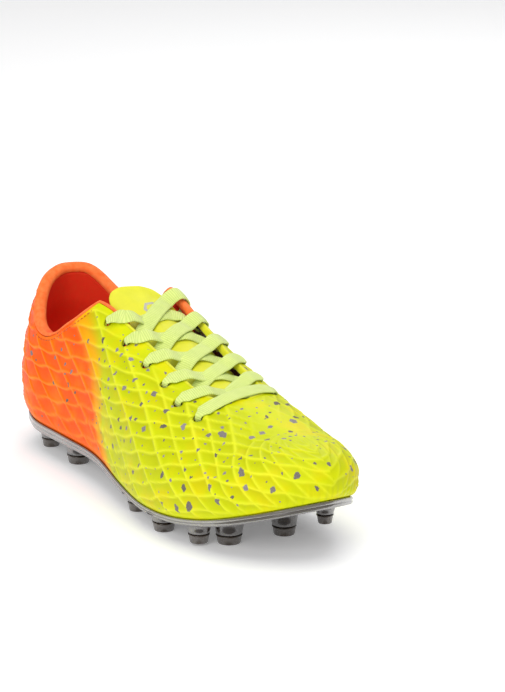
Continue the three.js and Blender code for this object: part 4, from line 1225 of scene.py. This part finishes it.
def make_lace():
    """One flat lace, swept along its stations from the inner loose end to the outer one."""
    bar = strand(EYELETS[1][5], EYELETS[-1][5], "bar")
    stations = [*lace_half(1)[::-1], *bar, *lace_half(-1)]
    at = np.array([s[0] for s in stations])
    half = np.array([s[2] for s in stations])
    ahead = unit(np.array([at[min(i + 1, len(at) - 1)] - at[max(i - 1, 0)] for i in range(len(at))]))
    widths = lace_widths(stations, ahead)
    key = arc_length(at)
    way = np.arange(0, key[-1], LACE_STEP)
    at, widths, half = eased(at, key, way), unit(eased(widths, key, way)), eased(half, key, way)[:, 0]
    ahead = unit(np.gradient(at, axis=0))
    widths = unit(widths - ahead * (widths * ahead).sum(-1, keepdims=True))
    thick = np.cross(ahead, widths)
    turns = circle(16)
    flat = np.sign(np.cos(turns)) * np.abs(np.cos(turns)) ** 0.55
    tall = np.sign(np.sin(turns)) * np.abs(np.sin(turns)) ** 0.7
    ribbed = LACE_HALF_THICKNESS + LACE_RIB_HEIGHT * np.cos(np.pi * np.arange(len(way)))
    narrow = np.clip((LACE_HALF_WIDTH - half) / LACE_HALF_WIDTH, 0, 1)
    sections, across = [], []
    for i in range(len(way)):
        fold = LACE_FOLD * narrow[i] * np.cos(3 * turns) * np.abs(tall) / 2
        high = ribbed[i] * tall * (1 - 0.12 * np.cos(6 * turns)) + fold
        across.append(half[i] * flat)
        sections.append(at[i] + widths[i] * across[-1][:, None] + thick[i] * high[:, None])
    points, faces = tube(sections)
    fields = {"ahead": np.repeat(way, len(turns)), "across": np.array(across).reshape(-1)}
    piece("lace_band", points, faces, lace_material(), stands_for=["lace"], fields=fields)


# ---- sole ----

# Each stud's x and y, the height of its lower end and the radius there.
STUDS = {
    "heel_rear_outer": (31, -19.5, 0, 4.6), "heel_rear_inner": (31, 16, 0, 4.6),
    "heel_front_outer": (66, -21, 0, 5.7), "heel_front_inner": (66, 13.5, 0, 5.7),
    "forefoot_rear_outer": (155, -34, 0, 4.4), "forefoot_rear_inner": (158, 23, 0, 4.6),
    "forefoot_mid_outer": (190, -38, 0, 5.3), "forefoot_mid_inner": (195, 31, 0, 5.3),
    "forefoot_front_outer": (219, -34, 1.2, 4.8), "forefoot_front_inner": (239, 30, 6, 3.7),
    "forefoot_centre_outer": (224.6, -19.3, 0, 6.1), "forefoot_centre_inner": (228, 12, 0, 5.6),
}
TIP_HEIGHT, STUD_FLARE, LATHE_SIDES = 5, 0.16, 20 * FINE
AXIS = 0.01                            # radius of a turned solid's closed ends
PLATE, RIM, PLATE_INSET = 2.3, 1.3, 2.2
HEEL_TURN, TOE_TURN = 50, 240          # where the round ends of the sole begin
# Relief under the sole; widths across it are shares of its half width.
SHANK_HEIGHT, SHANK_WIDTH, SHANK_RISES, SHANK_FALLS = 1.1, 0.32, (62, 82), (140, 165)
RIB_HEIGHT, RIB_SLANT, RIB_RADIAN = 0.35, 26, 2.4
RIBS_INSIDE, RIBS_START, RIBS_STOP = (0.08, 0.25), (12, 24), (262, 276)
WAIST_DARKER, WAIST_RISES, WAIST_FALLS = 0.75, (60, 85), (150, 190)


def sole_xs():
    """x positions from the heel to the toe, close together at both round ends."""
    heel, toe = TABLE_XY[0, 0], TABLE_XY[OUTER_HALF, 0].max()
    turn = np.linspace(0, np.pi / 2, 14 * FINE)
    back = lerp(heel, HEEL_TURN, 1 - np.cos(turn))
    front = lerp(toe, TOE_TURN, 1 - np.cos(turn))
    return np.concatenate([back[:-1], np.linspace(HEEL_TURN, TOE_TURN, 60 * FINE)[:-1], front[::-1]])


def sole_edge(xs, side, depth):
    """Each x, and the place beside the upper's lower edge at a depth inside it, on one side."""
    wall = Wall(share_of(xs, side))
    return wall.x, np.stack([wall.x - wall.out_x * depth, wall.y - wall.out_y * depth], -1)


def sole_ring(xs, depth, z):
    """Closed ring round the shoe at a depth inside the upper's lower edge, or outside where negative;
    z gives the height at x."""
    ring = []
    for x, edge in (sole_edge(xs, -1, depth), sole_edge(xs[1:-1][::-1], 1, depth)):
        ring.append(np.column_stack([edge, z(x)]))
    return np.concatenate(ring)


def sole_wall(xs, rows):
    """Points and faces of the rings round the shoe, one for each row of depth and height."""
    rings = [sole_ring(xs, depth, z) for depth, z in rows]
    return np.concatenate(rings), ring_faces(len(rings), len(rings[0]))


def lathe(profile, centre):
    """Solid turned about an upright axis; profile is [(radius, height)] over the centre, upwards."""
    turns = circle(LATHE_SIDES)
    rounds = np.stack([np.cos(turns), np.sin(turns), 0 * turns], -1)
    return tube([rounds * radius + np.add(centre, (0, 0, up)) for radius, up in profile])


def under_relief(x, share):
    """How far the sole's underside stands out: a middle shank and slanting ribs."""
    shank = SHANK_HEIGHT * np.exp(-(share / SHANK_WIDTH) ** 4)
    shank = shank * smooth(x, *SHANK_RISES) * (1 - smooth(x, *SHANK_FALLS))
    ribs = RIB_HEIGHT * np.maximum(np.sin((x + RIB_SLANT * np.abs(share)) / RIB_RADIAN), 0) ** 2
    fade = smooth(1 - np.abs(share), *RIBS_INSIDE) * smooth(x, *RIBS_START) * (1 - smooth(x, *RIBS_STOP))
    return shank + ribs * fade


def sole_sheet(xs, depth, z, columns, relief=None, flip=False):
    """Grid of points that closes a ring across the shoe, with a relief downwards."""
    (_, outer), (_, inner) = sole_edge(xs, -1, depth), sole_edge(xs, 1, depth)
    share = np.linspace(-1, 1, columns)
    xy = lerp(outer[:, None], inner[:, None], ((share + 1) / 2)[None, :, None])
    down = np.zeros(xy.shape[:2])
    if relief:
        down[1:-1, 1:-1] = relief(xy[..., 0], share + 0 * down)[1:-1, 1:-1]
    points = np.concatenate([xy, (z(xs)[:, None] - down)[..., None]], -1)
    return points.reshape(-1, 3), sheet_faces(len(xs), columns, flip=flip)


def below_rim(lower):
    """Heights along the shoe under the upper's feather line."""
    return lambda x: feather_z(x) - lower


def below_floor(lower):
    """Heights along the shoe under its floor."""
    return lambda x: floor_z(x) - lower


def down_wall(share):
    """Heights at a share of the way down the plate's wall."""
    return lambda x: lerp(feather_z(x) - GAP, floor_z(x) - GAP - PLATE, share)


LIP = -GAP - RIM
# The plate's wall from the shoe's floor outwards and down: depth, height and paleness; the paleness is
# partly the thin rim's lighter plastic and partly painted highlight lines along the rim.
PLATE_ROWS = [
    (-GAP, below_floor(0), 1), (-GAP, below_rim(GAP + 0.25), 1), (-GAP - 0.25, below_rim(GAP), 1),
    (LIP + 0.35, below_rim(GAP + 0.05), 1), (LIP, below_rim(GAP + 0.4), 0.9),
    (LIP, down_wall(0.3), 0.6), (LIP + 0.3, down_wall(0.36), 0.3), (LIP + 0.3, down_wall(0.42), 0.5),
    (LIP + 0.05, down_wall(0.48), 0.6), (LIP + 0.15, down_wall(0.66), 0.3),
    (LIP + 0.6, down_wall(0.82), 0.1), (-0.1, down_wall(0.93), 0), (1.0, down_wall(0.985), 0),
    (PLATE_INSET, below_floor(PLATE - GAP), 0),
]


def stud_base(x, y, ground, radius):
    """The part of a stud that is moulded with the plate and spreads into it."""
    low, bottom = radius + STUD_FLARE * (TIP_HEIGHT + GAP), ground + TIP_HEIGHT + GAP
    top = float(floor_z(x)) - PLATE / 2
    spread = [(low + 1.3 * t + 1.9 * t ** 5, lerp(bottom, top, t))
              for t in (0.3, 0.5, 0.68, 0.8, 0.9, 1.0)]
    profile = [(AXIS, bottom), (low - 0.5, bottom), (low, bottom + 0.35), *spread, (AXIS, top)]
    return lathe(profile, (x, y, 0))


def make_plate():
    xs = sole_xs()
    points, faces = sole_wall(xs, [row[:2] for row in PLATE_ROWS])
    pale = np.repeat([row[2] for row in PLATE_ROWS], len(points) // len(PLATE_ROWS))
    upper = sole_sheet(xs, -GAP, below_floor(0), 9)
    lower = sole_sheet(xs, PLATE_INSET, below_floor(PLATE - GAP), 24 * FINE + 1, under_relief, flip=True)
    wall = (points, [face[:1] + face[:0:-1] for face in faces])
    points, faces = join([wall, upper, lower, *[stud_base(*stud) for stud in STUDS.values()]])
    waist = smooth(points[:, 0], *WAIST_RISES) * (1 - smooth(points[:, 0], *WAIST_FALLS))
    # Paleness of the rim, partly the plastic's own and partly painted highlight lines; less of it along
    # the waist.
    pale_and_highlight = np.pad(pale, (0, len(points) - len(pale))) * (1 - WAIST_DARKER * waist)
    smoke = smoky_material("smoky_plate", "#2b2420", "#4a4039", 0.25)
    piece("sole_plate", points, faces, smoke, stands_for=["outsole_plate"],
          fields={"rim": pale_and_highlight})


def make_tips():
    """Plastic ends of the studs, hollowed a little below and widest just under the top."""
    plastic = smoky_material("stud_plastic", "#31281f", "#5a4d42", 0.12)
    for name, (x, y, ground, radius) in STUDS.items():
        top = radius + STUD_FLARE * TIP_HEIGHT
        shape = [
            (AXIS, 0.25), (radius * 0.45, 0.2), (radius * 0.6, 0), (radius - 0.75, 0),
            (radius - 0.25, 0.18), (radius, 0.7), (top - 0.25, TIP_HEIGHT - 0.9),
            (top + 0.1, TIP_HEIGHT - 0.55), (top, TIP_HEIGHT - 0.1), (top - 0.4, TIP_HEIGHT),
            (AXIS, TIP_HEIGHT),
        ]
        points, faces = lathe(shape, (x, y, ground))
        piece(f"stud_{name}", points, faces, plastic, stands_for=[f"stud_tip_{name}"])


# ---- footbed ----

BOARD, INSOLE, INSOLE_COVER, FOOTBED_INSET = 1.2, 3.2, 0.7, 4.5


def footbed(name, node, material, body, level, thickness):
    """Flat layer inside the shoe with rounded edges."""
    xs = sole_xs()
    rows = [(FOOTBED_INSET + inset, below_floor(-level - thickness * share))
            for inset, share in ((0.25, 0), (0, 0.15), (0, 0.85), (0.25, 1))]
    points, faces = sole_wall(xs, rows)
    low = sole_sheet(xs, *rows[0], 13, flip=True)
    high = sole_sheet(xs, *rows[-1], 13)
    points, faces = join([(points, [face[::-1] for face in faces]), low, high])
    return piece(name, points, faces, material, body=body, stands_for=[node])


def make_footbed():
    board = plain_material("fibre_board", "#b9b19b", "#d8d2c0", 0.9, 1500)
    foam = plain_material("insole_foam", "#2c2c2e", "#424246", 0.95, 1600, 0.0003)
    cover = knit_material("insole_knit", "#c9330c", "#ef5a24")
    footbed("board", "lasting_board", board, "boot", GAP, BOARD)
    pad = footbed("insole_pad", "sockliner", foam, "insole", 2 * GAP + BOARD, INSOLE)
    footbed("insole_top", "sockliner_cover", cover, "insole", 3 * GAP + BOARD + INSOLE,
            INSOLE_COVER)


def make_aglets():
    film = plain_material("aglet_film", "#cfe39a", "#e9f5c4", 0.3, 1200)
    for name in ("aglet_outer", "aglet_inner"):
        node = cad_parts[name]
        node.data.materials.clear()
        node.data.materials.append(film)


# ---- making ----

make_camera()
make_studio()
make_floor(floor_material())
make_skin()
make_backers()
make_linings()
make_collar()
make_throat_edge()
make_stitches()
make_tongue()
make_lace()
make_plate()
make_tips()
make_footbed()
make_aglets()
